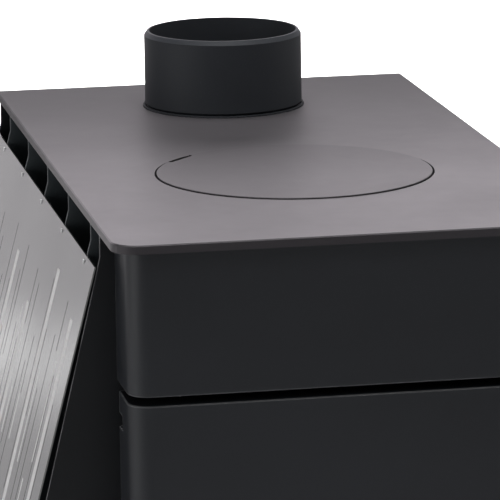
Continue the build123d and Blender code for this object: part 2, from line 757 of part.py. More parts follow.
def handle_grip():
    # Turned grip: thickest between its foot and its shoulder, slimmer at the neck
    bore = ROD_R + FIXED_PLAY
    profile = Plane.XZ * Polyline((bore, GRIP_BOTTOM), (GRIP_R - GRIP_NECK / 2, GRIP_BOTTOM),
                                  (GRIP_R, GRIP_BOTTOM + GRIP_FOOT),
                                  (GRIP_R, GRIP_TOP - GRIP_SHOULDER),
                                  (GRIP_R - GRIP_NECK, GRIP_TOP), (bore, GRIP_TOP), close=True)
    return Pos(LATCH_X, GRIP_Y, 0) * revolve(make_face(profile), Axis.Z)


def handle_cap():
    cap = rod_z(LATCH_X, GRIP_Y, GRIP_BOTTOM - CAP_H, GRIP_BOTTOM, GRIP_R - GRIP_NECK)
    return fillet(cap.edges().sort_by(Axis.Z)[0], GRIP_NECK)


# Ash drawer with its air slide

def air_slots(x_shift, y0, y1):
    slots = []
    for i in range(AIR_COUNT):
        x = (i - (AIR_COUNT - 1) / 2) * AIR_PITCH + x_shift
        slot = block(x - AIR_SLOT_W / 2, x + AIR_SLOT_W / 2, y0, y1,
                     AIR_Z - AIR_SLOT_H / 2, AIR_Z + AIR_SLOT_H / 2)
        slots.append(fillet(slot.edges().filter_by(Axis.Y), AIR_SLOT_W / 2 - 1))
    return slots


def drawer_front():
    front = tray(DRAWER_BOTTOM, DRAWER_TOP)
    for slot in air_slots(0, CASE_Y - 1, CASE_Y + SHEET + 1):
        front -= slot
    play = KNOB_STEM_R + REST_GAP
    track = block(KNOB_X - play, KNOB_X + AIR_TRAVEL + play, CASE_Y - 1, CASE_Y + SHEET + 1,
                  AIR_Z - play, AIR_Z + play)
    return front - fillet(track.edges().filter_by(Axis.Y), play - 0.1)


def slide_span():
    # Left and right end of the air slide at rest
    return -AIR_REACH - GUIDE_W, KNOB_X + KNOB_R + GUIDE_W


def air_slide():
    left, right = slide_span()
    y0 = GUIDE_Y + REST_GAP
    half = AIR_SLOT_H / 2 + AIR_EDGE
    plate = block(left, right, y0, y0 + SLIDE_T, AIR_Z - half, AIR_Z + half)
    for slot in air_slots(0, y0 - 1, y0 + SLIDE_T + 1):
        plate -= slot
    return plate


def air_slide_guides():
    left, right = slide_span()
    half = AIR_SLOT_H / 2 + AIR_EDGE + REST_GAP
    guides = []
    for z0 in (AIR_Z + half, AIR_Z - half - GUIDE_W):
        guides.append(block(left - GUIDE_W, right + AIR_TRAVEL + GUIDE_W, GUIDE_Y,
                            GUIDE_Y + GUIDE_T, z0, z0 + GUIDE_W))
    return guides


def air_knob():
    face = CASE_Y - REST_GAP
    head = rod_y(KNOB_X, face - KNOB_L, face, AIR_Z, KNOB_R)
    head = fillet(head.edges().sort_by(Axis.Y)[0], 2)
    return head + rod_y(KNOB_X, face, GUIDE_Y + REST_GAP, AIR_Z, KNOB_STEM_R)


def drawer_box():
    half = DRAWER_W / 2
    y0 = GUIDE_Y + GUIDE_T
    box = block(-half, half, y0, DRAWER_BACK_Y, DRAWER_Z, DRAWER_BOX_TOP)
    box -= block(-half + DRAWER_WALL, half - DRAWER_WALL, y0 + DRAWER_WALL,
                 DRAWER_BACK_Y - DRAWER_WALL, DRAWER_Z + DRAWER_WALL, DRAWER_BOX_TOP)
    return box - block(-AIR_REACH, AIR_REACH, y0, y0 + DRAWER_WALL, AIR_Z - AIR_SLOT_H / 2,
                       AIR_Z + AIR_SLOT_H / 2)


def drawer_runner():
    # A flat rail under the left side of the drawer
    inner = -DRAWER_W / 2 + RUNNER_W
    return block(-DRAWER_W / 2, inner, FRONT_END_Y, BACK_IN_Y, FLOOR_Z, RUNNER_TOP)


def drawer_pull():
    half = PULL_SPAN / 2
    bar = rod_x(-half - PULL_OVER, half + PULL_OVER, PULL_Y, PULL_Z, PULL_R)
    bar = fillet(bar.edges().filter_by(GeomType.CIRCLE), 2)
    for x in (-half, half):
        bar += rod_y(x, PULL_Y, CASE_Y, PULL_Z, PULL_POST_R)
    return bar


# Side convectors, drawn on the left and mirrored for the right

def fin_profile(kink_drop, slope, knee_back):
    # Outline of a fin seen from the front, from the firebox wall out to the panel
    edge_x = PANEL_X
    kink_z = TOP_Z - kink_drop
    knee_x = KNEE_X - knee_back
    knee_z = kink_z - (knee_x - edge_x) / slope
    bottom = SKIRT_BOTTOM_Z + FIN_RISE
    return Polyline((-BODY_X, PLATE_BOTTOM), (-edge_x, PLATE_BOTTOM), (-edge_x, kink_z),
                    (-knee_x, knee_z), (-knee_x, bottom), (-BODY_X, bottom), close=True)


def fin_plate(profile, y):
    face = make_face(Plane.XZ * profile)
    return Pos(0, y, 0) * extrude(face, FIN_T, dir=(0, 1, 0))


def panel_inner_x(z):
    # Distance from the middle of the stove to the inner face of the panel
    return min(PANEL_X + (KINK_Z - z) * SLOPE, KNEE_X)


def tab_levels():
    return [PANEL_TOP_Z - TAB_FROM_TOP - TAB_H, KNEE_Z + TAB_OVER_KNEE,
            (KNEE_Z + SKIRT_BOTTOM_Z) / 2]


def fin_ys():
    return [FIN_FIRST_Y + i * FIN_PITCH for i in range(FIN_COUNT)]


def fins():
    plates = []
    for y in fin_ys():
        fin = fin_plate(fin_profile(FIN_KINK_DROP, SLOPE, 0), y)
        for z in tab_levels():
            tip = panel_inner_x(z) + PANEL_T + TAB_OUT
            fin += block(-tip, -panel_inner_x(z + TAB_H) + 6, y, y + FIN_T, z, z + TAB_H)
        plates.append(fin)
    return plates


def end_plate(y):
    # The end plates lean less than the panel, so their edge draws back from it lower down
    lag = (KINK_Z - KNEE_Z) * (SLOPE - END_SLOPE)
    return fin_plate(fin_profile(END_KINK_DROP, END_SLOPE, lag), y)


def panel_edge(offset):
    # Points of the panel's section at one face, from its top edge to its bottom edge
    lean_offset = offset / math.cos(math.radians(PANEL_LEAN))
    top_x = PANEL_X + (KINK_Z - PANEL_TOP_Z) * SLOPE + lean_offset
    knee_z = KNEE_Z + (lean_offset - offset) / SLOPE
    return [(-top_x, PANEL_TOP_Z), (-KNEE_X - offset, knee_z), (-KNEE_X - offset, SKIRT_BOTTOM_Z)]


def slit_rows():
    # Rain of thin slits: y, top and length follow a steady beat that never lines up
    rows = []
    count = int((REAR_END_Y - FRONT_END_Y - 2 * SLIT_MARGIN) / SLIT_PITCH)
    for i in range(count):
        y = FRONT_END_Y + SLIT_MARGIN + i * SLIT_PITCH
        if min(abs(y - fin) for fin in fin_ys()) < SLIT_TO_FIN:
            y += SLIT_TO_FIN
        wave = 0.5 + 0.5 * math.sin(2.4 * i)
        length = SLIT_SHORT + (SLIT_LONG - SLIT_SHORT) * wave
        top = PANEL_TOP_Z - SLIT_DROP - SLIT_STAGGER * (0.5 + 0.5 * math.sin(1.7 * i + 1))
        rows.append((y, top, length))
    return rows


def side_panel():
    section = Polyline(*(panel_edge(0) + panel_edge(PANEL_T)[::-1]), close=True)
    depth = REAR_END_Y + FIN_T - FRONT_END_Y
    sheet = Pos(0, FRONT_END_Y, 0) * extrude(make_face(Plane.XZ * section), depth, dir=(0, 1, 0))
    for y in fin_ys():
        for z in tab_levels():
            sheet -= block(-panel_inner_x(z) - PANEL_T - 3, -panel_inner_x(z + TAB_H) + 2,
                           y - TAB_PLAY, y + FIN_T + TAB_PLAY, z - TAB_PLAY,
                           z + TAB_H + TAB_PLAY)
    for y, top, length in slit_rows():
        sheet -= block(-OVERALL_W / 2, -PANEL_X, y, y + SLIT_W, top - length, top)
    return sheet


# Rear heat shield

def spacer_places():
    return [(x, z) for x in (-SPACER_X, SPACER_X)
            for z in (SKIRT_BOTTOM_Z + SPACER_INSET, PANEL_TOP_Z - SPACER_INSET)]


def rear_shield():
    shield = block(-BODY_X, BODY_X, SHIELD_Y, SHIELD_Y + SHIELD_T, SKIRT_BOTTOM_Z, PANEL_TOP_Z)
    shield = fillet(shield.edges().filter_by(Axis.Y), 8)
    step = 2 * (SPACER_X - 2 * SPACER_R) / SHIELD_SLOTS
    for i in range(SHIELD_SLOTS):
        x = -SPACER_X + 2 * SPACER_R + step * (i + 0.5)
        for z in (SKIRT_BOTTOM_Z + SPACER_INSET, PANEL_TOP_Z - SPACER_INSET):
            slot = block(x - SHIELD_SLOT_W / 2, x + SHIELD_SLOT_W / 2, SHIELD_Y,
                         SHIELD_Y + SHIELD_T, z - SHIELD_SLOT_H / 2, z + SHIELD_SLOT_H / 2)
            shield -= fillet(slot.edges().filter_by(Axis.Y), SHIELD_SLOT_W / 2 - 0.1)
    for x, z in spacer_places():
        shield -= rod_y(x, SHIELD_Y, SHIELD_Y + SHIELD_T, z, M5_R + SCREW_PLAY)
    return shield


def shield_spacers():
    spacers = []
    for x, z in spacer_places():
        spacer = rod_y(x, BODY_BACK_Y, SHIELD_Y, z, SPACER_R)
        spacers.append(spacer - rod_y(x, SHIELD_Y - SCREW_GRIP - 2, SHIELD_Y, z,
                                      M5_R + FIXED_PLAY))
    return spacers


def shield_screws():
    screws = []
    back = SHIELD_Y + SHIELD_T
    for x, z in spacer_places():
        head = rod_y(x, back, back + M5_HEAD_H, z, M5_HEAD_R)
        head = fillet(head.edges().sort_by(Axis.Y)[-1], M5_HEAD_H / 2)
        head -= socket(x, back + M5_HEAD_H, z, M5_R)
        screws.append(head + rod_y(x, SHIELD_Y - SCREW_GRIP, back, z, M5_R))
    return screws


# Stand

def leg():
    # Left leg frame: an upright plate with an arch between its two feet
    y0 = FRONT_END_Y + LEG_INSET
    y1 = BODY_BACK_Y - LEG_INSET
    web = block(-LEG_X - LEG_T, -LEG_X, y0, y1, SHOE_T, LEG_TOP)
    arch = block(-LEG_X - LEG_T, -LEG_X, y0 + LEG_FOOT_L, y1 - LEG_FOOT_L, SHOE_T,
                 SHOE_T + LEG_ARCH_R)
    crown = arch.edges().filter_by(Axis.X).group_by(Axis.Z)[-1]
    return web - fillet(crown, LEG_ARCH_R - 1)


def leg_shoes():
    y0 = FRONT_END_Y + LEG_INSET
    y1 = BODY_BACK_Y - LEG_INSET
    shoes = []
    for x in (-LEG_X - LEG_T / 2, LEG_X + LEG_T / 2):
        for start in (y0, y1 - LEG_FOOT_L):
            shoe = block(x - SHOE_W / 2, x + SHOE_W / 2, start, start + LEG_FOOT_L, 0, SHOE_T)
            shoes.append(fillet(shoe.edges().filter_by(Axis.Z), 8))
    return shoes


def plinth(y):
    return block(-LEG_X, LEG_X, y, y + PLINTH_T, SHOE_T + PLINTH_RISE, BASE_Z)


def plinths():
    front = FRONT_END_Y + LEG_INSET + PLINTH_INSET
    back = BODY_BACK_Y - LEG_INSET - PLINTH_INSET
    return [plinth(front), plinth(back)]


def all_parts():
    left_bricks = side_bricks()
    left_fins = fins()
    ends = [end_plate(FRONT_END_Y), end_plate(REAR_END_Y)]
    return {
        "hob_plate": hob_plate(),
        "hob_lid": hob_lid(),
        "lid_support_ring": lid_support_ring(),
        "flue_collar": flue_collar(),
        "flue_collar_weld": flue_collar_weld(),
        "front_frame": front_frame(),
        "firebox_wall_left": firebox_wall_left(),
        "firebox_wall_right": mirrored(firebox_wall_left()),
        "firebox_back": firebox_back(),
        "firebox_floor": firebox_floor(),
        "grate_shelf": grate_shelf(),
        "grate": grate(),
        "firebricks_left": left_bricks,
        "firebricks_right": [mirrored(brick) for brick in left_bricks],
        "firebrick_back": back_brick(),
        "baffle_plate": baffle_plate(),
        "baffle_rests": [baffle_rest(), mirrored(baffle_rest())],
        "afterburn_tubes": [afterburn_tube(y) for y in tube_ys()],
        "airwash_deflector": airwash_deflector(),
        "header_panel": header_panel(),
        "door_skin": door_skin(),
        "door_liner": door_liner(),
        "liner_posts": liner_posts(),
        "liner_screws": liner_screws(),
        "door_rope_seal": rope_ring(),
        "door_glass": door_glass(),
        "glass_tape": glass_tape(),
        "glass_clips": glass_clips(),
        "glass_clip_bosses": glass_clip_bosses(),
        "glass_clip_screws": glass_clip_screws(),
        "hinge_lugs": hinge_lugs(),
        "door_hinge_ears": door_hinge_ears(),
        "door_hinge_pins": door_hinge_pins(),
        "latch_bushing": latch_bushing(),
        "handle_rosette": handle_rosette(),
        "latch_spindle": latch_spindle(),
        "latch_tongue": latch_tongue(),
        "latch_keeper": latch_keeper(),
        "handle_lever": handle_lever(),
        "handle_grip": handle_grip(),
        "handle_cap": handle_cap(),
        "drawer_front": drawer_front(),
        "drawer_box": drawer_box(),
        "drawer_pull": drawer_pull(),
        "drawer_runners": [drawer_runner(), mirrored(drawer_runner())],
        "air_slide": air_slide(),
        "air_slide_guides": air_slide_guides(),
        "air_knob": air_knob(),
        "end_plates_left": ends,
        "end_plates_right": [mirrored(end) for end in ends],
        "fins_left": left_fins,
        "fins_right": [mirrored(fin) for fin in left_fins],
        "side_panel_left": side_panel(),
        "side_panel_right": mirrored(side_panel()),
        "rear_shield": rear_shield(),
        "shield_spacers": shield_spacers(),
        "shield_screws": shield_screws(),
        "leg_frames": [leg(), mirrored(leg())],
        "leg_shoes": leg_shoes(),
        "plinths": plinths(),
    }


def solids_of(shape):
    # One group of separate solids, whether a part is one solid or a list of them
    pieces = shape if isinstance(shape, list) else [shape]
    solids = []
    for piece in pieces:
        solids.extend(piece.solids())
    return solids


parts = {name: solids_of(shape) for name, shape in all_parts().items()}
low = min(solid.bounding_box().min.Y for solids in parts.values() for solid in solids)
high = max(solid.bounding_box().max.Y for solids in parts.values() for solid in solids)
MIDDLE_Y = (low + high) / 2
to_middle = Pos(0, -MIDDLE_Y, 0)

os.makedirs("parts", exist_ok=True)
for name, solids in parts.items():
    placed = [to_middle * solid for solid in solids]
    shape = placed[0] if len(placed) == 1 else Compound(children=placed)
    export_step(shape, f"parts/{name}.step")

print("middle of the stove lies", MIDDLE_Y, "behind the plate's front edge")
print("door hinge axis", HINGE_X, HINGE_Y - MIDDLE_Y)
print("latch axis", LATCH_X, LATCH_Z)
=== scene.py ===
# %% [markdown]
# # A heating stove with a hotplate, dressed in Blender
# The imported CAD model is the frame: every plate, bolt and hinge is already in its place, and stays
# there. This file gives each of them its finish, models the soft and hand-made pieces that CAD
# leaves plain (the rope seal, the glass tape, the weld bead, the turned grip), and sets up the
# floor, the light and the camera.

# %% Load the frame
import math

import bmesh
import bpy
from mathutils import Matrix, Quaternion, Vector


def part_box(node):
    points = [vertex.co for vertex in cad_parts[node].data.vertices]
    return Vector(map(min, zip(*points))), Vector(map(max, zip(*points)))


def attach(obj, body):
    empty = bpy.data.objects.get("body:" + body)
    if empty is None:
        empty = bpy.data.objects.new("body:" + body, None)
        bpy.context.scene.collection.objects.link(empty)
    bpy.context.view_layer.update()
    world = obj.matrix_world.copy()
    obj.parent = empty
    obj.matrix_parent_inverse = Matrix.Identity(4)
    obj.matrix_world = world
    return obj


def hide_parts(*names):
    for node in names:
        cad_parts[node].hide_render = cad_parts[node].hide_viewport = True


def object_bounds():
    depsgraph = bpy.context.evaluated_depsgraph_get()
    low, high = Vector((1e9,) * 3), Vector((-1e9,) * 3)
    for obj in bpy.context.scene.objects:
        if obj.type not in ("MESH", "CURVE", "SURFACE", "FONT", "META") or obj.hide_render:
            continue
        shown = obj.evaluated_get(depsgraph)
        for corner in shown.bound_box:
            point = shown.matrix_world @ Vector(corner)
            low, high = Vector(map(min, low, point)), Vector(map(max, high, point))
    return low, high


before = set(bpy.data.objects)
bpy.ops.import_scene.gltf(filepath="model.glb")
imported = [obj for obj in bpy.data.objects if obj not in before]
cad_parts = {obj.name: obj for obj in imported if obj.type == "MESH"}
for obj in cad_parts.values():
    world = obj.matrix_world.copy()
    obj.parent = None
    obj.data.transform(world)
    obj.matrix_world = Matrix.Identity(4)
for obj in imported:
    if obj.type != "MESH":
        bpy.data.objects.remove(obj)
cad_low, cad_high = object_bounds()
print("CAD box in metres:", [round(v, 4) for v in cad_low], [round(v, 4) for v in cad_high])


def nothing_selected():
    """Operators act on all that is selected, so each piece starts from an empty selection."""
    if bpy.context.mode != "OBJECT":
        bpy.ops.object.mode_set(mode="OBJECT")
    bpy.ops.object.select_all(action="DESELECT")


nothing_selected()

# %% [markdown]
# ## The camera
# The photograph looks down on the top left front corner of the stove, through a long lens. A wide
# lens close by would also hold the corner in view, but then the plate's sides would run together
# much faster than they do. The place, the turn and the focal length come from fitting the plate's
# edges, the collar and the lid's circle.

# %% Camera
VIEW_FROM = Vector((-0.54692, -2.79809, 1.19166))
VIEW_TURN = 10.660
VIEW_DOWN = 12.299
VIEW_ROLL = -0.716
FOCAL_LENGTH = 291.67

camera = bpy.data.objects.new("camera", bpy.data.cameras.new("camera"))
bpy.context.scene.collection.objects.link(camera)
camera.data.lens = FOCAL_LENGTH
camera.data.sensor_width = 36.0
camera.data.clip_start = 0.05
camera.data.clip_end = 100.0
camera.matrix_world = (
    Matrix.Translation(VIEW_FROM)
    @ Matrix.Rotation(math.radians(-VIEW_TURN), 4, "Z")
    @ Matrix.Rotation(math.radians(90.0 - VIEW_DOWN), 4, "X")
    @ Matrix.Rotation(math.radians(VIEW_ROLL), 4, "Z")
)
bpy.context.scene.camera = camera
looks_along = camera.matrix_world.to_3x3() @ Vector((0, 0, -1))
print("camera looks along", [round(v, 3) for v in looks_along])

# %% [markdown]
# ## Helpers for finishes
# A finish is one Principled shader with a few patterns in front of it. The same three or four
# steps come back in every one: take a place on the object, make a grain from it, turn the grain
# into a colour, a roughness or a height. Small helpers keep those steps readable. Generated
# coordinates would stretch a grain with each piece's box, so every pattern reads Object
# coordinates in metres, and has the same scale everywhere.

# %% Shader and place
def new_finish(name, **uniform):
    """A material with its Principled shader set to the values that are the same all over."""
    finish = bpy.data.materials.new(name)
    finish.use_nodes = True
    shader = finish.node_tree.nodes["Principled BSDF"]
    for socket, value in uniform.items():
        shader.inputs[socket.replace("_", " ")].default_value = value
    return finish, finish.node_tree, shader


def place_on(tree, stretch=(1.0, 1.0, 1.0), shift=(0.0, 0.0, 0.0)):
    """Object coordinates, stretched so that a grain can run one way."""
    where = tree.nodes.new("ShaderNodeTexCoord")
    mapping = tree.nodes.new("ShaderNodeMapping")
    mapping.inputs["Scale"].default_value = stretch
    mapping.inputs["Location"].default_value = shift
    tree.links.new(where.outputs["Object"], mapping.inputs["Vector"])
    return mapping.outputs["Vector"]


def split(tree, vector):
    """The X, Y and Z of a place or a direction, each by itself."""
    parts = tree.nodes.new("ShaderNodeSeparateXYZ")
    tree.links.new(vector, parts.inputs["Vector"])
    return parts.outputs


print("patterns read Object coordinates, in metres")

# %% Patterns and colours
def feed(tree, source, socket):
    """Links a pattern to a socket, or writes a fixed value there."""
    if isinstance(source, bpy.types.NodeSocket):
        tree.links.new(source, socket)
    else:
        socket.default_value = source


def grain(tree, vector, scale, detail=3.0, rough=0.5, warp=0.0):
    """Soft noise between 0 and 1."""
    noise = tree.nodes.new("ShaderNodeTexNoise")
    noise.inputs["Scale"].default_value = scale
    noise.inputs["Detail"].default_value = detail
    noise.inputs["Roughness"].default_value = rough
    noise.inputs["Distortion"].default_value = warp
    tree.links.new(vector, noise.inputs["Vector"])
    return noise.outputs["Fac"]


def spread(tree, value, low, high, to_low, to_high):
    """Turns the range low..high of a pattern into to_low..to_high, cut off at both ends."""
    ranged = tree.nodes.new("ShaderNodeMapRange")
    ranged.inputs["From Min"].default_value = low
    ranged.inputs["From Max"].default_value = high
    ranged.inputs["To Min"].default_value = to_low
    ranged.inputs["To Max"].default_value = to_high
    tree.links.new(value, ranged.inputs["Value"])
    return ranged.outputs["Result"]


def colours(tree, value, stops):
    """A colour ramp: stops are (place, (r, g, b)), in linear light."""
    ramp = tree.nodes.new("ShaderNodeValToRGB")
    points = ramp.color_ramp.elements
    while len(points) < len(stops):
        points.new(0.5)
    for point, (place, colour) in zip(points, stops):
        point.position = place
        point.color = (*colour, 1.0)
    tree.links.new(value, ramp.inputs["Fac"])
    return ramp.outputs["Color"]


def blend_colours(tree, factor, first, second):
    """Mixes two colours by a pattern; either may be a fixed (r, g, b)."""
    mix = tree.nodes.new("ShaderNodeMix")
    mix.data_type = "RGBA"
    tree.links.new(factor, mix.inputs[0])
    for socket, source in ((6, first), (7, second)):
        feed(tree, (*source, 1.0) if isinstance(source, tuple) else source, mix.inputs[socket])
    return mix.outputs[2]


def calc(tree, operation, first, second=0.0):
    """One step of arithmetic on patterns or numbers."""
    step = tree.nodes.new("ShaderNodeMath")
    step.operation = operation
    feed(tree, first, step.inputs[0])
    feed(tree, second, step.inputs[1])
    return step.outputs["Value"]


def relief(tree, shader, height, depth):
    """Bump: height 0..1 stands for depth metres."""
    bump = tree.nodes.new("ShaderNodeBump")
    bump.inputs["Distance"].default_value = depth
    tree.links.new(height, bump.inputs["Height"])
    tree.links.new(bump.outputs["Normal"], shader.inputs["Normal"])


finishes = {}
print("helpers ready: grain, spread, colours, blend_colours, calc, relief")

# %% [markdown]
# ## Paint
# Stoves are sprayed with heat-resistant silicone paint: nearly black, satin, and slightly rough to
# the touch, because it is full of fine solids. A plain dark colour would look like plastic. So the
# paint gets a fine tooth as bump, a cloudy roughness as a spray gun leaves it, and a trace of
# lighter dust, all far finer than the sheets themselves. Along the cut edges a light grey line of
# half a millimetre is painted: partly steel where the thin paint gets rubbed, partly a painted
# highlight where the edges would catch the light. The Bevel node finds those edges: close to one,
# its rounded normal leaves the flat one. The tips of the fins' tabs, just outside the side panels,
# are painted near white: partly bare steel, partly a painted glint. The fins and the walls behind
# them get a paler copy of the black paint, painted light that makes up for the light the deep
# gaps between the fins lack.

# %% Worn places, painted highlights and glints
PANEL_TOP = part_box("side_panel_left")[1].z
PANEL_LEAN = 0.2642  # metres outwards for each metre down
LEAN_X, LEAN_Z = 0.162, 0.623  # a point on the outside of the leaning sheet
SKIRT_X = 0.249  # the upright sheet below it
TIP_STARTS = 0.00098  # just under the outer skin of the sheet


def rubbed_and_highlit_edges(tree, wide):
    """1 along the edges of a piece, 0 on its faces."""
    rounded = tree.nodes.new("ShaderNodeBevel")
    rounded.samples = 8
    rounded.inputs["Radius"].default_value = wide
    flat = tree.nodes.new("ShaderNodeNewGeometry")
    agree = tree.nodes.new("ShaderNodeVectorMath")
    agree.operation = "DOT_PRODUCT"
    tree.links.new(rounded.outputs["Normal"], agree.inputs[0])
    tree.links.new(flat.outputs["True Normal"], agree.inputs[1])
    return spread(tree, agree.outputs["Value"], 0.86, 0.985, 1.0, 0.0)


def bare_and_glinting_tab_tips(tree):
    """1 outside the plane of the side panels, where only the tips of the fins' tabs reach."""
    at = split(tree, place_on(tree))
    aside = calc(tree, "ABSOLUTE", at["X"])
    lean = calc(tree, "MULTIPLY", calc(tree, "SUBTRACT", LEAN_Z, at["Z"]), PANEL_LEAN)
    sheet = calc(tree, "MINIMUM", calc(tree, "ADD", lean, LEAN_X), SKIRT_X)
    past = calc(tree, "GREATER_THAN", aside, calc(tree, "ADD", sheet, TIP_STARTS))
    return calc(tree, "MULTIPLY", past, calc(tree, "LESS_THAN", at["Z"], PANEL_TOP))


print("the panels' top is at", round(PANEL_TOP, 4), "m; their skirt at", SKIRT_X, "m")

# %% Sprayed paint
PAINT_TOOTH = 0.00004
WEAR_AND_HIGHLIGHT_WIDTH = 0.0011
RUBBED_STEEL_AND_HIGHLIGHT = (0.36, 0.36, 0.37)
WORN_AND_GLINTING_TIP = (0.62, 0.62, 0.63)


def sprayed_paint(name, deep, pale, gloss, sheen, rubbed_and_highlit):
    finish, tree, shader = new_finish(name, Specular_IOR_Level=sheen)
    at = place_on(tree)
    cloud = grain(tree, at, 9.0, 4.0, 0.55, 0.4)
    speck = grain(tree, at, 900.0, 2.0, 0.6)
    shade = colours(tree, cloud, [(0.30, deep), (0.70, pale)])
    dust = spread(tree, speck, 0.62, 0.80, 0.0, 0.25)
    shade = blend_colours(tree, dust, shade, tuple(3.0 * v for v in pale))
    if rubbed_and_highlit:
        worn_and_highlit = spread(tree, grain(tree, at, 40.0), 0.3, 0.5, 0.4 * rubbed_and_highlit, rubbed_and_highlit)
        edge = calc(tree, "MULTIPLY", rubbed_and_highlit_edges(tree, WEAR_AND_HIGHLIGHT_WIDTH), worn_and_highlit)
        # light grey edges: partly rubbed steel, partly a painted highlight
        shade = blend_colours(tree, edge, shade, RUBBED_STEEL_AND_HIGHLIGHT)
        # near white tab tips: partly bare steel, partly a painted glint
        shade = blend_colours(tree, bare_and_glinting_tab_tips(tree), shade, WORN_AND_GLINTING_TIP)
    satin = spread(tree, cloud, 0.3, 0.7, gloss - 0.05, gloss + 0.05)
    tree.links.new(shade, shader.inputs["Base Color"])
    tree.links.new(satin, shader.inputs["Roughness"])
    relief(tree, shader, speck, PAINT_TOOTH)
    print("paint", name, "roughness about", gloss)
    return finish


# name: deep colour, pale colour, roughness, sheen, how far its edges are rubbed and painted highlit
PAINTS = {
    "casing_paint": ((0.0082, 0.0093, 0.0115), (0.0108, 0.0122, 0.0150), 0.46, 0.25, 0.6),
    "black_paint": ((0.0058, 0.0064, 0.0074), (0.0086, 0.0094, 0.0108), 0.55, 0.16, 0.7),
    # the fins' paint: a paler copy of black_paint, painted light for the deep gaps between the fins
    "fin_paint_painted_light": ((0.0290, 0.0350, 0.0385), (0.0360, 0.0430, 0.0470), 0.60, 0.25, 0.45),
    "collar_paint": ((0.0170, 0.0188, 0.0225), (0.0215, 0.0237, 0.0280), 0.62, 0.20, 0.0),
    # the weld's paint: darker than the collar's, a painted shade at the collar's foot
    "weld_paint_painted_shade": ((0.0080, 0.0087, 0.0105), (0.0120, 0.0130, 0.0155), 0.74, 0.10, 0.0),
}
for name, mix in PAINTS.items():
    finishes[name] = sprayed_paint(name, *mix)

# %% [markdown]
# ## The hotplate
# Seen from above the plate is nearly as black as the rest, as its front edge shows. At the
# camera's low angle it is almost all reflection: the pale surroundings, blurred, with a dim smear
# under the collar. So it isn't painted light grey. It gets a dark, faintly violet colour and a
# smoother skin than the casing, duller towards the flue, where heat has baked the paint. Its
# outer edges get a light grey line, partly rubbed paint, partly a painted highlight. Its faces
# that look to the front get a painted shade, a darker colour. The walls of the gap round the lid
# are painted near black, a painted shade in the narrow gap, and made rougher. The lid has its own
# mix, a little duller, since it gets hotter than the plate: that draws its outline at the back,
# where the gap itself can't be seen.

# %% The lid's gap
FLUE = (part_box("flue_collar")[0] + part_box("flue_collar")[1]) / 2
LID_LOW, LID_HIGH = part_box("hob_lid")
LID_CENTRE = (LID_LOW + LID_HIGH) / 2
LID_RIM = (LID_HIGH.x - LID_LOW.x) / 2
LID_GAP_REACH = 0.0022


def lid_gap(tree, facing):
    """1 on the two upright walls of the narrow gap round the lid."""
    reach = tree.nodes.new("ShaderNodeVectorMath")
    reach.operation = "LENGTH"
    centred = place_on(tree, stretch=(1.0, 1.0, 0.0), shift=(-LID_CENTRE.x, -LID_CENTRE.y, 0.0))
    tree.links.new(centred, reach.inputs[0])
    off_rim = calc(tree, "ABSOLUTE", calc(tree, "SUBTRACT", reach.outputs["Value"], LID_RIM))
    near = calc(tree, "LESS_THAN", off_rim, LID_GAP_REACH)
    upright = calc(tree, "LESS_THAN", calc(tree, "ABSOLUTE", facing["Z"]), 0.6)
    return calc(tree, "MULTIPLY", near, upright)


print("lid: radius", round(LID_RIM * 1000, 1), "mm; flue", round(FLUE.y, 3), "m behind the middle")

# %% Hotplate paint
OUTSIDE_LID = 0.13  # metres from the middle, past the lid and its opening
HOB_WEAR_AND_HIGHLIGHT_WIDTH = 0.0009
SMOOTH, CLOUDY, BAKED, GAP_ROUGHER = 0.39, 0.46, 0.26, 0.45  # roughness; the last two are added


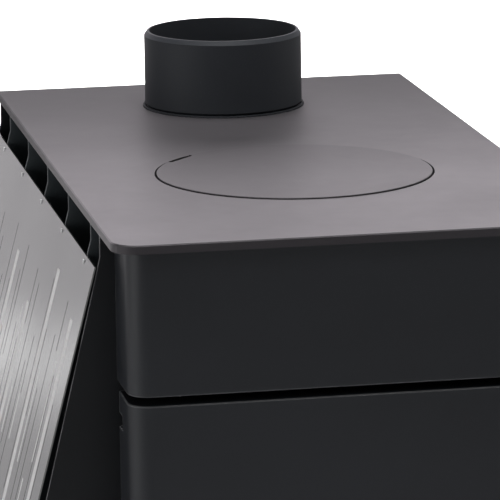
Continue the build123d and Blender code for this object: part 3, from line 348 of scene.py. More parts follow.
def hotplate_paint(name, sheen, rougher):
    finish, tree, shader = new_finish(
        name, Specular_IOR_Level=sheen, Specular_Tint=(1.0, 0.93, 1.0, 1.0))
    at = place_on(tree)
    along = split(tree, at)
    normal = tree.nodes.new("ShaderNodeNewGeometry")
    facing = split(tree, normal.outputs["True Normal"])
    cloud = grain(tree, at, 6.0, 3.0, 0.5, 0.6)
    fine = grain(tree, at, 70.0, 3.0, 0.55)
    speck = grain(tree, at, 1100.0, 2.0, 0.6)
    outer = calc(tree, "GREATER_THAN", calc(tree, "ABSOLUTE", along["X"]), OUTSIDE_LID)
    worn_and_highlit = spread(tree, grain(tree, at, 25.0), 0.45, 0.65, 0.0, 0.35)
    edge = calc(tree, "MULTIPLY", rubbed_and_highlit_edges(tree, HOB_WEAR_AND_HIGHLIGHT_WIDTH), worn_and_highlit)
    front = calc(tree, "LESS_THAN", facing["Y"], -0.5)
    darkening = lid_gap(tree, facing)

    shade = colours(tree, cloud, [(0.30, (0.0140, 0.0130, 0.0142)),
                                  (0.70, (0.0190, 0.0177, 0.0192))])
    dust = spread(tree, fine, 0.35, 0.75, 0.0, 0.3)
    shade = blend_colours(tree, dust, shade, (0.024, 0.022, 0.024))
    # light grey outer edges: partly rubbed paint, partly a painted highlight
    shade = blend_colours(tree, calc(tree, "MULTIPLY", edge, outer), shade, (0.30, 0.29, 0.30))
    # painted shade: faces that look to the front get a darker colour
    shade = blend_colours(tree, front, shade, (0.0035, 0.0034, 0.0040))
    # painted shade: the walls of the gap round the lid are near black
    shade = blend_colours(tree, darkening, shade, (0.0020, 0.0020, 0.0020))
    tree.links.new(shade, shader.inputs["Base Color"])

    baked = spread(tree, along["Y"], FLUE.y - 0.31, FLUE.y + 0.09, rougher, BAKED + rougher)
    clouds = calc(tree, "ADD", cloud, calc(tree, "MULTIPLY", fine, 0.35))
    dull = calc(tree, "ADD", spread(tree, clouds, 0.4, 0.9, SMOOTH, CLOUDY), baked)
    dull = calc(tree, "ADD", dull, calc(tree, "MULTIPLY", darkening, GAP_ROUGHER))
    dull = calc(tree, "ADD", dull, calc(tree, "MULTIPLY", front, 0.20))
    tree.links.new(calc(tree, "MINIMUM", dull, 1.0), shader.inputs["Roughness"])
    relief(tree, shader, speck, 0.00002)
    print(name, "roughness from", SMOOTH + rougher, "and duller at the flue")
    return finish


finishes["hob_paint"] = hotplate_paint("hob_paint", 0.55, 0.0)
finishes["lid_paint"] = hotplate_paint("lid_paint", 0.52, 0.04)

# %% [markdown]
# ## Satin stainless with etched stripes
# The side panels are thin stainless sheet, brushed from top to bottom, with narrow slits cut
# through and matt stripes etched between them. The slits are real openings in the sheet. The
# stripes have no depth that the eye can see, so they are drawn in the finish: a row of equal
# lanes, with a stripe in the middle of a lane, and white noise that picks for each lane whether
# it has one, where it starts and how long it is. Broad bands and thin lines are two such rows.

# %% Stripe pattern
SLIT_BEAT = 0.017
FIRST_STRIPE = -0.1835
BAND_WIDE = 0.010
LINE_WIDE = 0.0034
ETCH_BLUR = 0.0004


def stripes(tree, across, depth, lane, wide, start, length, share, seed):
    """1 on upright stripes, 0 between them; start and length are (least, most) in metres."""
    shifted = calc(tree, "SUBTRACT", across, FIRST_STRIPE)
    place = calc(tree, "ADD", calc(tree, "DIVIDE", shifted, lane), 0.5)
    number = tree.nodes.new("ShaderNodeTexWhiteNoise")
    number.noise_dimensions = "1D"
    tree.links.new(calc(tree, "ADD", calc(tree, "FLOOR", place), seed), number.inputs["W"])
    pick = tree.nodes.new("ShaderNodeSeparateColor")
    tree.links.new(number.outputs["Color"], pick.inputs["Color"])
    aside = calc(tree, "ABSOLUTE", calc(tree, "SUBTRACT", calc(tree, "FRACT", place), 0.5))
    inside = spread(tree, aside, (wide / 2 - ETCH_BLUR) / lane, (wide / 2 + ETCH_BLUR) / lane,
                    1.0, 0.0)
    first = spread(tree, pick.outputs["Red"], 0.0, 1.0, *start)
    last = calc(tree, "ADD", first, spread(tree, pick.outputs["Green"], 0.0, 1.0, *length))
    begun = calc(tree, "GREATER_THAN", depth, first)
    within = calc(tree, "MULTIPLY", begun, calc(tree, "LESS_THAN", depth, last))
    there = calc(tree, "LESS_THAN", pick.outputs["Blue"], share)
    return calc(tree, "MULTIPLY", inside, calc(tree, "MULTIPLY", within, there))


# %% Stainless sheet
def striped_stainless():
    finish, tree, shader = new_finish("stainless", Metallic=1.0)
    brushed = grain(tree, place_on(tree, stretch=(40.0, 2600.0, 12.0)), 1.0, 2.0, 0.6)
    drift = grain(tree, place_on(tree), 5.0, 2.0, 0.5)
    along = split(tree, place_on(tree))
    depth = calc(tree, "SUBTRACT", PANEL_TOP, along["Z"])
    bands = stripes(tree, along["Y"], depth, 5 * SLIT_BEAT, BAND_WIDE,
                    (0.02, 0.08), (0.16, 0.34), 0.9, 11.0)
    lines = stripes(tree, along["Y"], depth, SLIT_BEAT, LINE_WIDE,
                    (0.03, 0.26), (0.03, 0.10), 0.65, 40.0)
    stripe = calc(tree, "MAXIMUM", bands, lines)
    shade = colours(tree, brushed, [(0.25, (0.108, 0.1095, 0.1083)),
                                    (0.75, (0.152, 0.1540, 0.1516))])
    shade = blend_colours(tree, stripe, shade, (0.66, 0.66, 0.655))
    tree.links.new(shade, shader.inputs["Base Color"])
    matt = tree.nodes.new("ShaderNodeMix")
    tree.links.new(stripe, matt.inputs["Factor"])
    tree.links.new(spread(tree, drift, 0.3, 0.7, 0.19, 0.23), matt.inputs["A"])
    matt.inputs["B"].default_value = 0.50
    tree.links.new(matt.outputs["Result"], shader.inputs["Roughness"])
    relief(tree, shader, brushed, 0.00002)
    print("stainless: bands", BAND_WIDE * 1000, "mm wide, lines", LINE_WIDE * 1000,
          "mm, on a beat of", SLIT_BEAT * 1000, "mm")
    return finish


finishes["stainless"] = striped_stainless()

# %% [markdown]
# ## Bare and plated steel
# The pins, spindle, latch and handle rod are turned or drawn from bright bar, and the screws and
# spacers are zinc plated. Both are metal with fine lines; the zinc also has the cloudy blue and
# yellow cast of its passivation.

# %% Bright steel and zinc
def drawn_steel(name, dark, light, gloss, lines, cast=None):
    finish, tree, shader = new_finish(name, Metallic=1.0)
    scratch = grain(tree, place_on(tree, stretch=lines), 1.0, 3.0, 0.65)
    cloud = grain(tree, place_on(tree), 60.0, 3.0, 0.5)
    shade = colours(tree, scratch, [(0.3, dark), (0.7, light)])
    if cast:
        shade = blend_colours(tree, spread(tree, cloud, 0.35, 0.65, 0.0, 0.45), shade, cast)
    tree.links.new(shade, shader.inputs["Base Color"])
    satin = spread(tree, scratch, 0.3, 0.7, gloss - 0.06, gloss + 0.08)
    tree.links.new(satin, shader.inputs["Roughness"])
    relief(tree, shader, scratch, 0.00002)
    print("metal", name)
    return finish


finishes["bare_steel"] = drawn_steel(
    "bare_steel", (0.36, 0.36, 0.36), (0.50, 0.50, 0.49), 0.30, (900.0, 900.0, 90.0))
finishes["zinc_steel"] = drawn_steel(
    "zinc_steel", (0.46, 0.47, 0.49), (0.60, 0.61, 0.62), 0.36, (300.0, 300.0, 300.0),
    cast=(0.56, 0.53, 0.42))

# %% [markdown]
# ## Steel and iron that meet the fire
# The lid's support ring, the baffle, the shelf and the ash box are bare mill steel: blue grey scale
# that the heat has clouded brown in places. The grate is cast, so its skin is pitted by the sand.

# %% Fire steel and cast iron
def scaled_steel():
    finish, tree, shader = new_finish("fire_steel", Metallic=0.75)
    at = place_on(tree)
    cloud = grain(tree, at, 14.0, 5.0, 0.6, 0.8)
    fine = grain(tree, at, 350.0, 3.0, 0.6)
    shade = colours(tree, cloud, [(0.30, (0.050, 0.056, 0.066)), (0.52, (0.105, 0.105, 0.108)),
                                  (0.75, (0.125, 0.092, 0.066))])
    scale = spread(tree, fine, 0.4, 0.7, 0.0, 0.4)
    shade = blend_colours(tree, scale, shade, (0.035, 0.034, 0.034))
    tree.links.new(shade, shader.inputs["Base Color"])
    tree.links.new(spread(tree, cloud, 0.3, 0.7, 0.42, 0.62), shader.inputs["Roughness"])
    relief(tree, shader, fine, 0.00005)
    print("fire steel: blue grey scale with brown clouds")
    return finish


def sand_cast():
    finish, tree, shader = new_finish("cast_iron", Metallic=0.35)
    at = place_on(tree)
    sand = grain(tree, at, 420.0, 4.0, 0.6)
    cloud = grain(tree, at, 22.0, 3.0, 0.5)
    shade = colours(tree, cloud, [(0.3, (0.028, 0.027, 0.027)), (0.7, (0.060, 0.056, 0.053))])
    tree.links.new(shade, shader.inputs["Base Color"])
    tree.links.new(spread(tree, sand, 0.3, 0.7, 0.55, 0.75), shader.inputs["Roughness"])
    relief(tree, shader, sand, 0.00025)
    print("cast iron: pits of a quarter of a millimetre")
    return finish


finishes["fire_steel"] = scaled_steel()
finishes["cast_iron"] = sand_cast()

# %% [markdown]
# ## Firebrick
# The bricks are pressed chamotte: sandy yellow, with pale and rusty grains of a few millimetres,
# dull all over, and smoked darker towards the top of the fire. Voronoi cells give the grains,
# noise breaks them up, and the smoke is a ramp on the height.

# %% Firebrick
def pressed_chamotte():
    finish, tree, shader = new_finish("fireclay")
    at = place_on(tree)
    cells = tree.nodes.new("ShaderNodeTexVoronoi")
    cells.inputs["Scale"].default_value = 330.0
    tree.links.new(at, cells.inputs["Vector"])
    dirt = grain(tree, at, 30.0, 5.0, 0.6)
    sand = grain(tree, at, 700.0, 3.0, 0.6)
    grains = colours(tree, cells.outputs["Color"], [
        (0.2, (0.42, 0.30, 0.18)), (0.6, (0.56, 0.44, 0.29)), (0.95, (0.66, 0.58, 0.45))])
    rust = spread(tree, dirt, 0.45, 0.7, 0.0, 0.5)
    shade = blend_colours(tree, rust, grains, (0.36, 0.21, 0.12))
    smoke_line = calc(tree, "ADD", split(tree, at)["Z"], calc(tree, "MULTIPLY", dirt, 0.12))
    smoke = spread(tree, smoke_line, 0.36, 0.50, 0.0, 0.75)
    shade = blend_colours(tree, smoke, shade, (0.060, 0.052, 0.045))
    tree.links.new(shade, shader.inputs["Base Color"])
    tree.links.new(spread(tree, sand, 0.3, 0.7, 0.82, 0.95), shader.inputs["Roughness"])
    relief(tree, shader, sand, 0.0003)
    print("firebrick: grains of about 3 mm")
    return finish


finishes["fireclay"] = pressed_chamotte()

# %% [markdown]
# ## Ceramic glass
# The door's glass stands the heat of the fire. It is clear with a faint brown tint and smooth, and
# in use it carries a cloudy haze of ash.

# %% Ceramic glass
def ceramic_glass():
    finish, tree, shader = new_finish("ceramic_glass", IOR=1.52, Transmission_Weight=1.0)
    haze = grain(tree, place_on(tree), 16.0, 4.0, 0.6, 0.5)
    tint = colours(tree, haze, [(0.3, (0.80, 0.77, 0.72)), (0.7, (0.72, 0.69, 0.64))])
    tree.links.new(tint, shader.inputs["Base Color"])
    tree.links.new(spread(tree, haze, 0.45, 0.75, 0.015, 0.06), shader.inputs["Roughness"])
    print("ceramic glass: clear with a brown tint")
    return finish


finishes["ceramic_glass"] = ceramic_glass()

# %% [markdown]
# ## Fibreglass rope and tape
# The door closes on a knitted fibreglass rope, and the glass sits on a flat tape of the same fibre.
# Both are dull and hairy. The yarns of both are modelled further down; the finish only adds the
# single threads, as a fine grain, and the grey that soot leaves on it.

# %% Fibre finishes
def fibre(name, dark, light, thread):
    finish, tree, shader = new_finish(name, Sheen_Weight=0.25, Sheen_Roughness=0.5)
    at = place_on(tree)
    hair = grain(tree, at, thread, 3.0, 0.7)
    darkening = grain(tree, at, 45.0, 4.0, 0.6)
    shade = colours(tree, hair, [(0.3, dark), (0.7, light)])
    grey = spread(tree, darkening, 0.5, 0.75, 0.0, 0.6)
    shade = blend_colours(tree, grey, shade, tuple(0.45 * v for v in dark))
    tree.links.new(shade, shader.inputs["Base Color"])
    tree.links.new(spread(tree, hair, 0.3, 0.7, 0.80, 0.95), shader.inputs["Roughness"])
    relief(tree, shader, hair, 0.0002)
    print("fibre", name)
    return finish


finishes["rope"] = fibre("rope", (0.34, 0.33, 0.30), (0.58, 0.57, 0.53), 1500.0)
finishes["tape"] = fibre("tape", (0.055, 0.055, 0.055), (0.13, 0.13, 0.128), 1800.0)

# %% [markdown]
# ## Wood of the grip
# The grip is turned from a hard brown wood and oiled. The growth rings are rings about an axis
# beside the grip, so they run along it as long flames; fine pores are noise, drawn out lengthwise.

# %% Wood
def turned_wood():
    finish, tree, shader = new_finish("grip_wood", Coat_Weight=0.25, Coat_Roughness=0.25)
    rings = tree.nodes.new("ShaderNodeTexWave")
    rings.wave_type = "RINGS"
    rings.rings_direction = "Z"
    rings.inputs["Scale"].default_value = 60.0
    rings.inputs["Distortion"].default_value = 5.0
    rings.inputs["Detail"].default_value = 3.0
    rings.inputs["Detail Scale"].default_value = 1.2
    beside = place_on(tree, stretch=(1.0, 1.0, 0.12), shift=(-0.105, 0.33, 0.0))
    tree.links.new(beside, rings.inputs["Vector"])
    pores = grain(tree, place_on(tree, stretch=(1400.0, 1400.0, 90.0)), 1.0, 3.0, 0.7)
    shade = colours(tree, rings.outputs["Fac"], [
        (0.1, (0.105, 0.042, 0.018)), (0.55, (0.185, 0.082, 0.036)), (0.95, (0.255, 0.125, 0.058))])
    open_pores = spread(tree, pores, 0.55, 0.75, 0.0, 0.7)
    shade = blend_colours(tree, open_pores, shade, (0.045, 0.018, 0.008))
    tree.links.new(shade, shader.inputs["Base Color"])
    tree.links.new(spread(tree, pores, 0.4, 0.7, 0.34, 0.55), shader.inputs["Roughness"])
    relief(tree, shader, pores, 0.00006)
    print("wood: rings along the grip")
    return finish


finishes["grip_wood"] = turned_wood()

# %% [markdown]
# ## Dressing the frame
# Each CAD node came with a plain material named after its slot. It is swapped for the finish of
# that name. The lid and what lies behind the panels take a mix of their own, by node.

# %% Give every CAD node its finish
# the parts behind the panels take the paler paint: painted light in their shaded gaps
BEHIND_PANELS = ("fins_left", "fins_right", "firebox_wall_left", "firebox_wall_right")
own_finish = {name: finishes["fin_paint_painted_light"] for name in BEHIND_PANELS}
own_finish["hob_lid"] = finishes["lid_paint"]
for name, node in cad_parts.items():
    for slot in node.material_slots:
        wanted = slot.material.name.split(".")[0]
        slot.material = own_finish.get(name, finishes[wanted])
print(len(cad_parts), "nodes dressed,", len(own_finish), "of them with a mix of their own")

# %% [markdown]
# ## The rope seal
# A round of knitted rope is glued to the back of the door. A plain tube would show no yarn, so the
# rope is modelled as eight yarns that cross over and under each other round its core, four each
# way. The core is a smooth tube that fills the gaps. All follow one rounded rectangle.

# %% The rope's way round the door
ROPE_LOW, ROPE_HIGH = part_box("door_rope_seal")
ROPE_MIDDLE = (ROPE_LOW + ROPE_HIGH) / 2
ROPE_THICK = ROPE_HIGH.y - ROPE_LOW.y
ROPE_CORNER = 0.020
ROPE_TURNS = 44
ROPE_YARNS = 4  # each way
YARN_STEPS = 16  # points in one turn
YARN_THICK, CORE_THICK = 0.155, 0.76  # as shares of the rope's thickness
YARN_REACH, YARN_WEAVE = 0.385, 0.035  # how far a yarn lies from the core's middle, and its weave
CORE_STEPS = 240


def rounded_loop(half_wide, half_high, corner):
    """Length of a rounded rectangle, and what turns 0..1 into its point and outward direction."""
    straight_x, straight_z = 2 * (half_wide - corner), 2 * (half_high - corner)
    arc = math.pi / 2 * corner
    runs = [(straight_z, 0), (arc, 1), (straight_x, 2), (arc, 3),
            (straight_z, 4), (arc, 5), (straight_x, 6), (arc, 7)]
    total = sum(length for length, _ in runs)

    def at(share):
        s = (share % 1.0) * total
        for length, kind in runs:
            if s <= length:
                break
            s -= length
        quarter = kind // 2
        if kind % 2 == 0:
            half_run = (straight_z if quarter % 2 == 0 else straight_x) / 2
            reach = half_wide if quarter % 2 == 0 else half_high
            local, out = (reach, s - half_run), (1.0, 0.0)
        else:
            reach = half_wide if quarter % 2 == 0 else half_high
            half_run = (straight_z if quarter % 2 == 0 else straight_x) / 2
            angle = s / corner
            local = (reach - corner + corner * math.cos(angle), half_run + corner * math.sin(angle))
            out = (math.cos(angle), math.sin(angle))
        turn = quarter * math.pi / 2
        c, d = math.cos(turn), math.sin(turn)
        return ((local[0] * c - local[1] * d, local[0] * d + local[1] * c),
                (out[0] * c - out[1] * d, out[0] * d + out[1] * c))

    return total, at


rope_length, rope_at = rounded_loop((ROPE_HIGH.x - ROPE_LOW.x - ROPE_THICK) / 2,
                                    (ROPE_HIGH.z - ROPE_LOW.z - ROPE_THICK) / 2, ROPE_CORNER)
print("rope: centre line", round(rope_length, 4), "m, thickness", round(ROPE_THICK, 4), "m")

# %% Rope yarns
def yarn_line(way, phase):
    """Points of one yarn: it winds round the core, in and out as it crosses the others."""
    steps = ROPE_TURNS * YARN_STEPS
    points = []
    for i in range(steps):
        share = i / steps
        (px, pz), (ox, oz) = rope_at(share)
        angle = way * 2 * math.pi * ROPE_TURNS * share + phase
        under = 0.0 if way > 0 else math.pi
        weave = math.cos(8 * math.pi * ROPE_TURNS * share + under + 2 * phase)
        radius = ROPE_THICK * (YARN_REACH + YARN_WEAVE * weave)
        points.append((ROPE_MIDDLE.x + px + ox * radius * math.cos(angle),
                       ROPE_MIDDLE.y + radius * math.sin(angle),
                       ROPE_MIDDLE.z + pz + oz * radius * math.cos(angle)))
    return points


def tube_along(name, lines, thick, sides):
    """Closed tubes along closed lines of points, as one mesh."""
    curve = bpy.data.curves.new(name, "CURVE")
    curve.dimensions = "3D"
    curve.bevel_depth = thick / 2
    curve.bevel_resolution = max(0, sides // 2 - 2)
    for line in lines:
        spline = curve.splines.new("POLY")
        spline.points.add(len(line) - 1)
        for point, place in zip(spline.points, line):
            point.co = (*place, 1.0)
        spline.use_cyclic_u = True
    piece = bpy.data.objects.new(name, curve)
    bpy.context.scene.collection.objects.link(piece)
    nothing_selected()
    piece.select_set(True)
    bpy.context.view_layer.objects.active = piece
    bpy.ops.object.convert(target="MESH")
    bpy.ops.object.shade_smooth()
    return bpy.context.object


print("a yarn winds", ROPE_TURNS, "times round the core")

# %% Rope seal
def dress(piece, finish):
    """The piece's one material."""
    piece.data.materials.clear()
    piece.data.materials.append(finishes[finish])


yarns = [yarn_line(way, k * 2 * math.pi / ROPE_YARNS) for way in (1, -1) for k in range(ROPE_YARNS)]
rope_seal = tube_along("rope_seal_yarns", yarns, ROPE_THICK * YARN_THICK, 6)
core_points = []
for i in range(CORE_STEPS):
    (px, pz), _ = rope_at(i / CORE_STEPS)
    core_points.append((ROPE_MIDDLE.x + px, ROPE_MIDDLE.y, ROPE_MIDDLE.z + pz))
rope_core = tube_along("rope_seal_core", [core_points], ROPE_THICK * CORE_THICK, 12)
for piece in (rope_seal, rope_core):
    dress(piece, "rope")
    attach(piece, "door")
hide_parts("door_rope_seal")
print("rope yarns:", len(rope_seal.data.polygons), "faces; core:", len(rope_core.data.polygons))

# %% [markdown]
# ## The glass tape
# Between the glass and the door skin lies a flat tape, woven from the same glass fibre. The weave
# is real here too, since only that gives the tape its checked edge: four warp yarns run round the
# window, and one long weft yarn goes back and forth across them, over one and under the next. A
# flat band within them shuts the gaps.

# %% Glass tape
TAPE_LOW, TAPE_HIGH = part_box("glass_tape")
TAPE_MIDDLE = (TAPE_LOW + TAPE_HIGH) / 2
TAPE_THICK = TAPE_HIGH.y - TAPE_LOW.y
TAPE_WIDE = 0.009
TAPE_CORNER = 0.0125
TAPE_WARPS = 4
TAPE_WEFTS = 270
TAPE_LIFT = 0.19 * TAPE_THICK  # how far a yarn goes up and down as it crosses the others
TAPE_YARN = 0.48 * TAPE_THICK
BAND_STEPS = 160
BAND_CORNERS = ((-0.42, -0.16), (0.42, -0.16), (0.42, 0.16), (-0.42, 0.16))  # shares of the tape
tape_length, tape_at = rounded_loop((TAPE_HIGH.x - TAPE_LOW.x - TAPE_WIDE) / 2,
                                    (TAPE_HIGH.z - TAPE_LOW.z - TAPE_WIDE) / 2, TAPE_CORNER)


def on_tape(share, across, lift):
    """A point of the tape: its share of the way round, metres across, metres above its middle."""
    (px, pz), (ox, oz) = tape_at(share)
    return (TAPE_MIDDLE.x + px + ox * across, TAPE_MIDDLE.y + lift,
            TAPE_MIDDLE.z + pz + oz * across)


warp_step = TAPE_WIDE / (TAPE_WARPS + 0.25)
steps = TAPE_WEFTS * 4
warps = []
for k in range(TAPE_WARPS):
    across = (k - (TAPE_WARPS - 1) / 2) * warp_step
    warps.append([on_tape(i / steps, across, TAPE_LIFT * math.cos(math.pi * (i / 4 + k)))
                  for i in range(steps)])
weft = []
for j in range(TAPE_WEFTS):
    stations = []
    for k in range(2 * TAPE_WARPS + 1):
        over = 0.0 if k % 2 == 0 else -math.cos(math.pi * (j + (k - 1) / 2))
        stations.append((k / 2 - TAPE_WARPS / 2, over))
    for across, over in (stations if j % 2 == 0 else stations[::-1]):
        weft.append(on_tape(j / TAPE_WEFTS, across * warp_step, TAPE_LIFT * over))
tape_yarns = tube_along("glass_tape_yarns", warps + [weft], TAPE_YARN, 6)
print("tape: one weft every", round(tape_length / TAPE_WEFTS * 1000, 2), "mm")

# %% Band inside the tape
band = bmesh.new()
rows = []
for i in range(BAND_STEPS):
    rows.append([band.verts.new(on_tape(i / BAND_STEPS, u * TAPE_WIDE, v * TAPE_THICK))
                 for u, v in BAND_CORNERS])
for row, following in zip(rows, rows[1:] + rows[:1]):
    for k in range(4):
        band.faces.new((row[k], row[(k + 1) % 4], following[(k + 1) % 4], following[k]))
bmesh.ops.recalc_face_normals(band, faces=band.faces)
tape_band = bpy.data.objects.new("glass_tape_band", bpy.data.meshes.new("glass_tape_band"))
band.to_mesh(tape_band.data)
band.free()
bpy.context.scene.collection.objects.link(tape_band)
for piece in (tape_yarns, tape_band):
    dress(piece, "tape")
    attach(piece, "door")
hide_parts("glass_tape")
print("tape yarns:", len(tape_yarns.data.polygons), "faces; band:", len(tape_band.data.polygons))

# %% [markdown]
# ## The weld at the flue collar
# The collar is welded to the plate all the way round, and a hand-laid bead has ripples, one for
# each time the welder moved on. A torus gives the round of the bead. Every second ring of it is
# then pushed in a little, and a level of subdivision turns the steps into ripples. Its paint is
# darker than the collar's: a painted shade for the crease at the collar's foot.

# %% Weld bead
WELD_LOW, WELD_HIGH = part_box("flue_collar_weld")
WELD_RIPPLES = 170
WELD_RADIUS = (WELD_HIGH.x - WELD_LOW.x) / 2
WELD_ROUND = 0.0017  # radius of the bead itself
WELD_INSET = 0.0028  # from the weld's outer edge to the bead's middle
RIPPLE_DEPTH = 0.00035
nothing_selected()
bpy.ops.mesh.primitive_torus_add(
    location=((WELD_LOW.x + WELD_HIGH.x) / 2, (WELD_LOW.y + WELD_HIGH.y) / 2, WELD_LOW.z),
    major_segments=2 * WELD_RIPPLES, minor_segments=10,
    major_radius=WELD_RADIUS - WELD_INSET, minor_radius=WELD_ROUND)
weld = bpy.context.object
weld.name = "weld_bead"
weld_centre = weld.location.copy()
bpy.ops.object.transform_apply(location=True, rotation=True, scale=True)
bpy.ops.object.mode_set(mode="EDIT")
bpy.ops.mesh.select_mode(type="VERT")
bpy.ops.mesh.select_all(action="DESELECT")
rings = bmesh.from_edit_mesh(weld.data)
for vertex in rings.verts:
    angle = math.atan2(vertex.co.y - weld_centre.y, vertex.co.x - weld_centre.x)
    vertex.select = round(angle / (2 * math.pi) * 2 * WELD_RIPPLES) % 2 == 0
rings.select_flush(True)
bmesh.update_edit_mesh(weld.data)
bpy.ops.transform.shrink_fatten(value=-RIPPLE_DEPTH)
bpy.ops.object.mode_set(mode="OBJECT")
smooth = weld.modifiers.new("round_ripples", "SUBSURF")
smooth.levels = smooth.render_levels = 1
bpy.ops.object.modifier_apply(modifier=smooth.name)
bpy.ops.object.shade_smooth()
# darker paint: painted shade at the collar's foot
dress(weld, "weld_paint_painted_shade")
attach(weld, "stove")
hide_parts("flue_collar_weld")
ripple_length = 2 * math.pi * WELD_RADIUS / WELD_RIPPLES
print("weld:", WELD_RIPPLES, "ripples,", round(ripple_length * 1000, 2), "mm each")

# %% [markdown]
# ## The turned grip
# The grip is turned on a lathe and drilled through for its rod. A turner works in rings along an
# axis, and extruding does the same: a ring of the bore is drawn, then extruded and scaled from one
# radius to the next, out over the foot, up along the belly, over two small beads, and back down
# through the bore, where the last ring is merged with the first.

# %% Turned grip
MERGE_WITHIN = 0.000005


def turned(name, axis_x, axis_y, profile, sides):
    """A closed lathe piece: profile is a list of (radius, height), starting at the bore."""
    nothing_selected()
    radius, height = profile[0]
    bpy.ops.mesh.primitive_circle_add(vertices=sides, radius=radius,
                                      location=(axis_x, axis_y, height))
    piece = bpy.context.object
    piece.name = name
    bpy.ops.object.transform_apply(location=True, rotation=True, scale=True)
    bpy.ops.object.mode_set(mode="EDIT")
    bpy.ops.mesh.select_mode(type="VERT")
    bpy.ops.mesh.select_all(action="SELECT")
    for new_radius, new_height in profile[1:] + profile[:1]:
        rise = (0.0, 0.0, new_height - height)
        bpy.ops.mesh.extrude_region_move(TRANSFORM_OT_translate={"value": rise})
        bpy.ops.transform.resize(value=(new_radius / radius, new_radius / radius, 1.0),
                                 center_override=(axis_x, axis_y, new_height))
        radius, height = new_radius, new_height
    bpy.ops.mesh.select_all(action="SELECT")
    bpy.ops.mesh.remove_doubles(threshold=MERGE_WITHIN)
    bpy.ops.mesh.normals_make_consistent(inside=False)
    bpy.ops.object.mode_set(mode="OBJECT")
    bpy.ops.object.shade_smooth_by_angle(angle=math.radians(40.0))
    return piece


GRIP_LOW, GRIP_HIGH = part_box("handle_grip")
GRIP_BORE = 0.00502
foot, neck = GRIP_LOW.z, GRIP_HIGH.z
FOOT_AND_BEAD = [
    (GRIP_BORE, 0.0), (0.0082, 0.0), (0.0090, 0.0004), (0.0095, 0.0014), (0.0098, 0.0044),
    (0.0098, 0.0058), (0.0090, 0.0062), (0.0090, 0.0070), (0.0100, 0.0076)]
BELLY = [
    (0.0104, 0.0100), (0.0107, 0.0130), (0.0109, 0.0180), (0.0110, 0.0260), (0.0110, 0.0560),
    (0.0109, 0.0640), (0.0106, 0.0690), (0.0102, 0.0740), (0.0097, 0.0800), (0.0092, 0.0870),
    (0.0088, 0.0930), (0.0085, 0.0970)]
UPPER_BEAD = [(0.0084, 0.0982), (0.0077, 0.0986), (0.0077, 0.0994), (0.0083, 0.1000)]
NECK = [(0.0082, -0.0018), (0.0078, -0.0005), (0.0072, 0.0), (GRIP_BORE, 0.0)]
grip_profile = [(radius, foot + height) for radius, height in FOOT_AND_BEAD + BELLY + UPPER_BEAD]
grip_profile += [(radius, neck + height) for radius, height in NECK]
grip = turned("turned_grip", (GRIP_LOW.x + GRIP_HIGH.x) / 2, (GRIP_LOW.y + GRIP_HIGH.y) / 2,
              grip_profile, 72)
dress(grip, "grip_wood")
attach(grip, "handle")
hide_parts("handle_grip")
print("grip:", round((neck - foot) * 1000, 1), "mm long,", len(grip.data.polygons), "faces")

# %% [markdown]
# ## The floor and the light
# A photographer would set such a dark object on white paper, with one big soft light high behind
# it, so that the plate shines softly. Smaller ones stand over it, at both sides and in front, and
# a dim room fills the rest. One more lights only the paper far behind, and a small glow low down
# puts the bright streak on the left panel. The front gets little light on purpose: that is what
# makes the door and the header read as black.

# %% Floor
nothing_selected()
bpy.ops.mesh.primitive_plane_add(size=60.0, location=(0.0, 0.0, cad_low.z))
floor = bpy.context.object
floor.name = "floor"
bpy.ops.object.transform_apply(location=True, rotation=False, scale=True)
paper, tree, shader = new_finish("floor_paper")
mottle = grain(tree, place_on(tree), 3.0, 2.0, 0.5)
pale_greys = colours(tree, mottle, [(0.3, (0.86, 0.86, 0.865)), (0.7, (0.89, 0.89, 0.895))])
tree.links.new(pale_greys, shader.inputs["Base Color"])
tree.links.new(spread(tree, mottle, 0.3, 0.7, 0.85, 0.95), shader.inputs["Roughness"])
floor.data.materials.append(paper)

# %% Light
WHITE = (1.0, 1.0, 1.0)


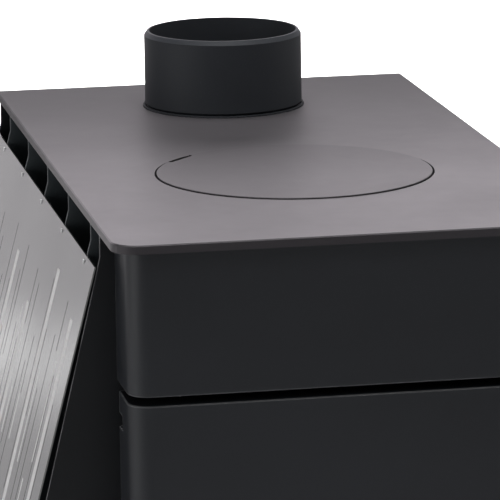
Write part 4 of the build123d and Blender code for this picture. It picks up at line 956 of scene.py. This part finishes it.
def soft_light(name, place, aim, wide, high, power, beam=180.0, turn=0.0, colour=WHITE):
    lamp = bpy.data.lights.new(name, "AREA")
    lamp.color = colour
    lamp.shape = "RECTANGLE"
    lamp.size, lamp.size_y = wide, high
    lamp.energy = power
    lamp.spread = math.radians(beam)
    light = bpy.data.objects.new(name, lamp)
    bpy.context.scene.collection.objects.link(light)
    light.location = place
    light.rotation_mode = "QUATERNION"
    facing = (Vector(aim) - Vector(place)).to_track_quat("-Z", "Y")
    light.rotation_quaternion = facing @ Quaternion((0.0, 0.0, 1.0), math.radians(turn))
    light.visible_camera = False
    print("light", name, power, "W")


soft_light("back_panel", (0.5, 7.5, 3.0), (0.0, 0.0, 0.6), 11.0, 4.0, 234.0,
           colour=(1.0, 0.93, 0.99))
soft_light("overhead", (0.0, 0.1, 2.7), (0.0, 0.1, 0.0), 1.2, 1.2, 11.0, beam=70.0)
soft_light("paper_light", (0.74, 4.30, 1.9), (0.74, 4.30, 0.0), 1.6, 2.6, 42.0,
           beam=40.0, turn=-10.6)
soft_light("panel_glow", (-0.94, 3.10, 0.03), (-0.19, -0.05, 0.50), 0.34, 0.10, 0.21)
soft_light("top_panel", (0.5, -2.0, 2.9), (0.0, -0.2, 0.5), 1.6, 1.1, 22.0)
soft_light("left_panel", (-2.7, -0.8, 0.80), (0.0, -0.1, 0.6), 2.2, 1.5, 27.0)
soft_light("right_panel", (2.8, 0.2, 1.5), (0.0, 0.0, 0.5), 2.6, 2.6, 12.0)

# %% Skylight and room
above = bpy.data.objects.new("skylight", bpy.data.lights.new("skylight", "SUN"))
above.data.energy = 0.6
above.data.angle = math.radians(50.0)
bpy.context.scene.collection.objects.link(above)

world = bpy.data.worlds.new("studio")
bpy.context.scene.world = world
world.use_nodes = True
tree = world.node_tree
sky = tree.nodes["Background"]
sky.inputs["Color"].default_value = (*WHITE, 1.0)
sky.inputs["Strength"].default_value = 0.22
bpy.context.scene.view_settings.view_transform = "Standard"
print("studio: dim room, bright wall of light behind; skylight straight down")
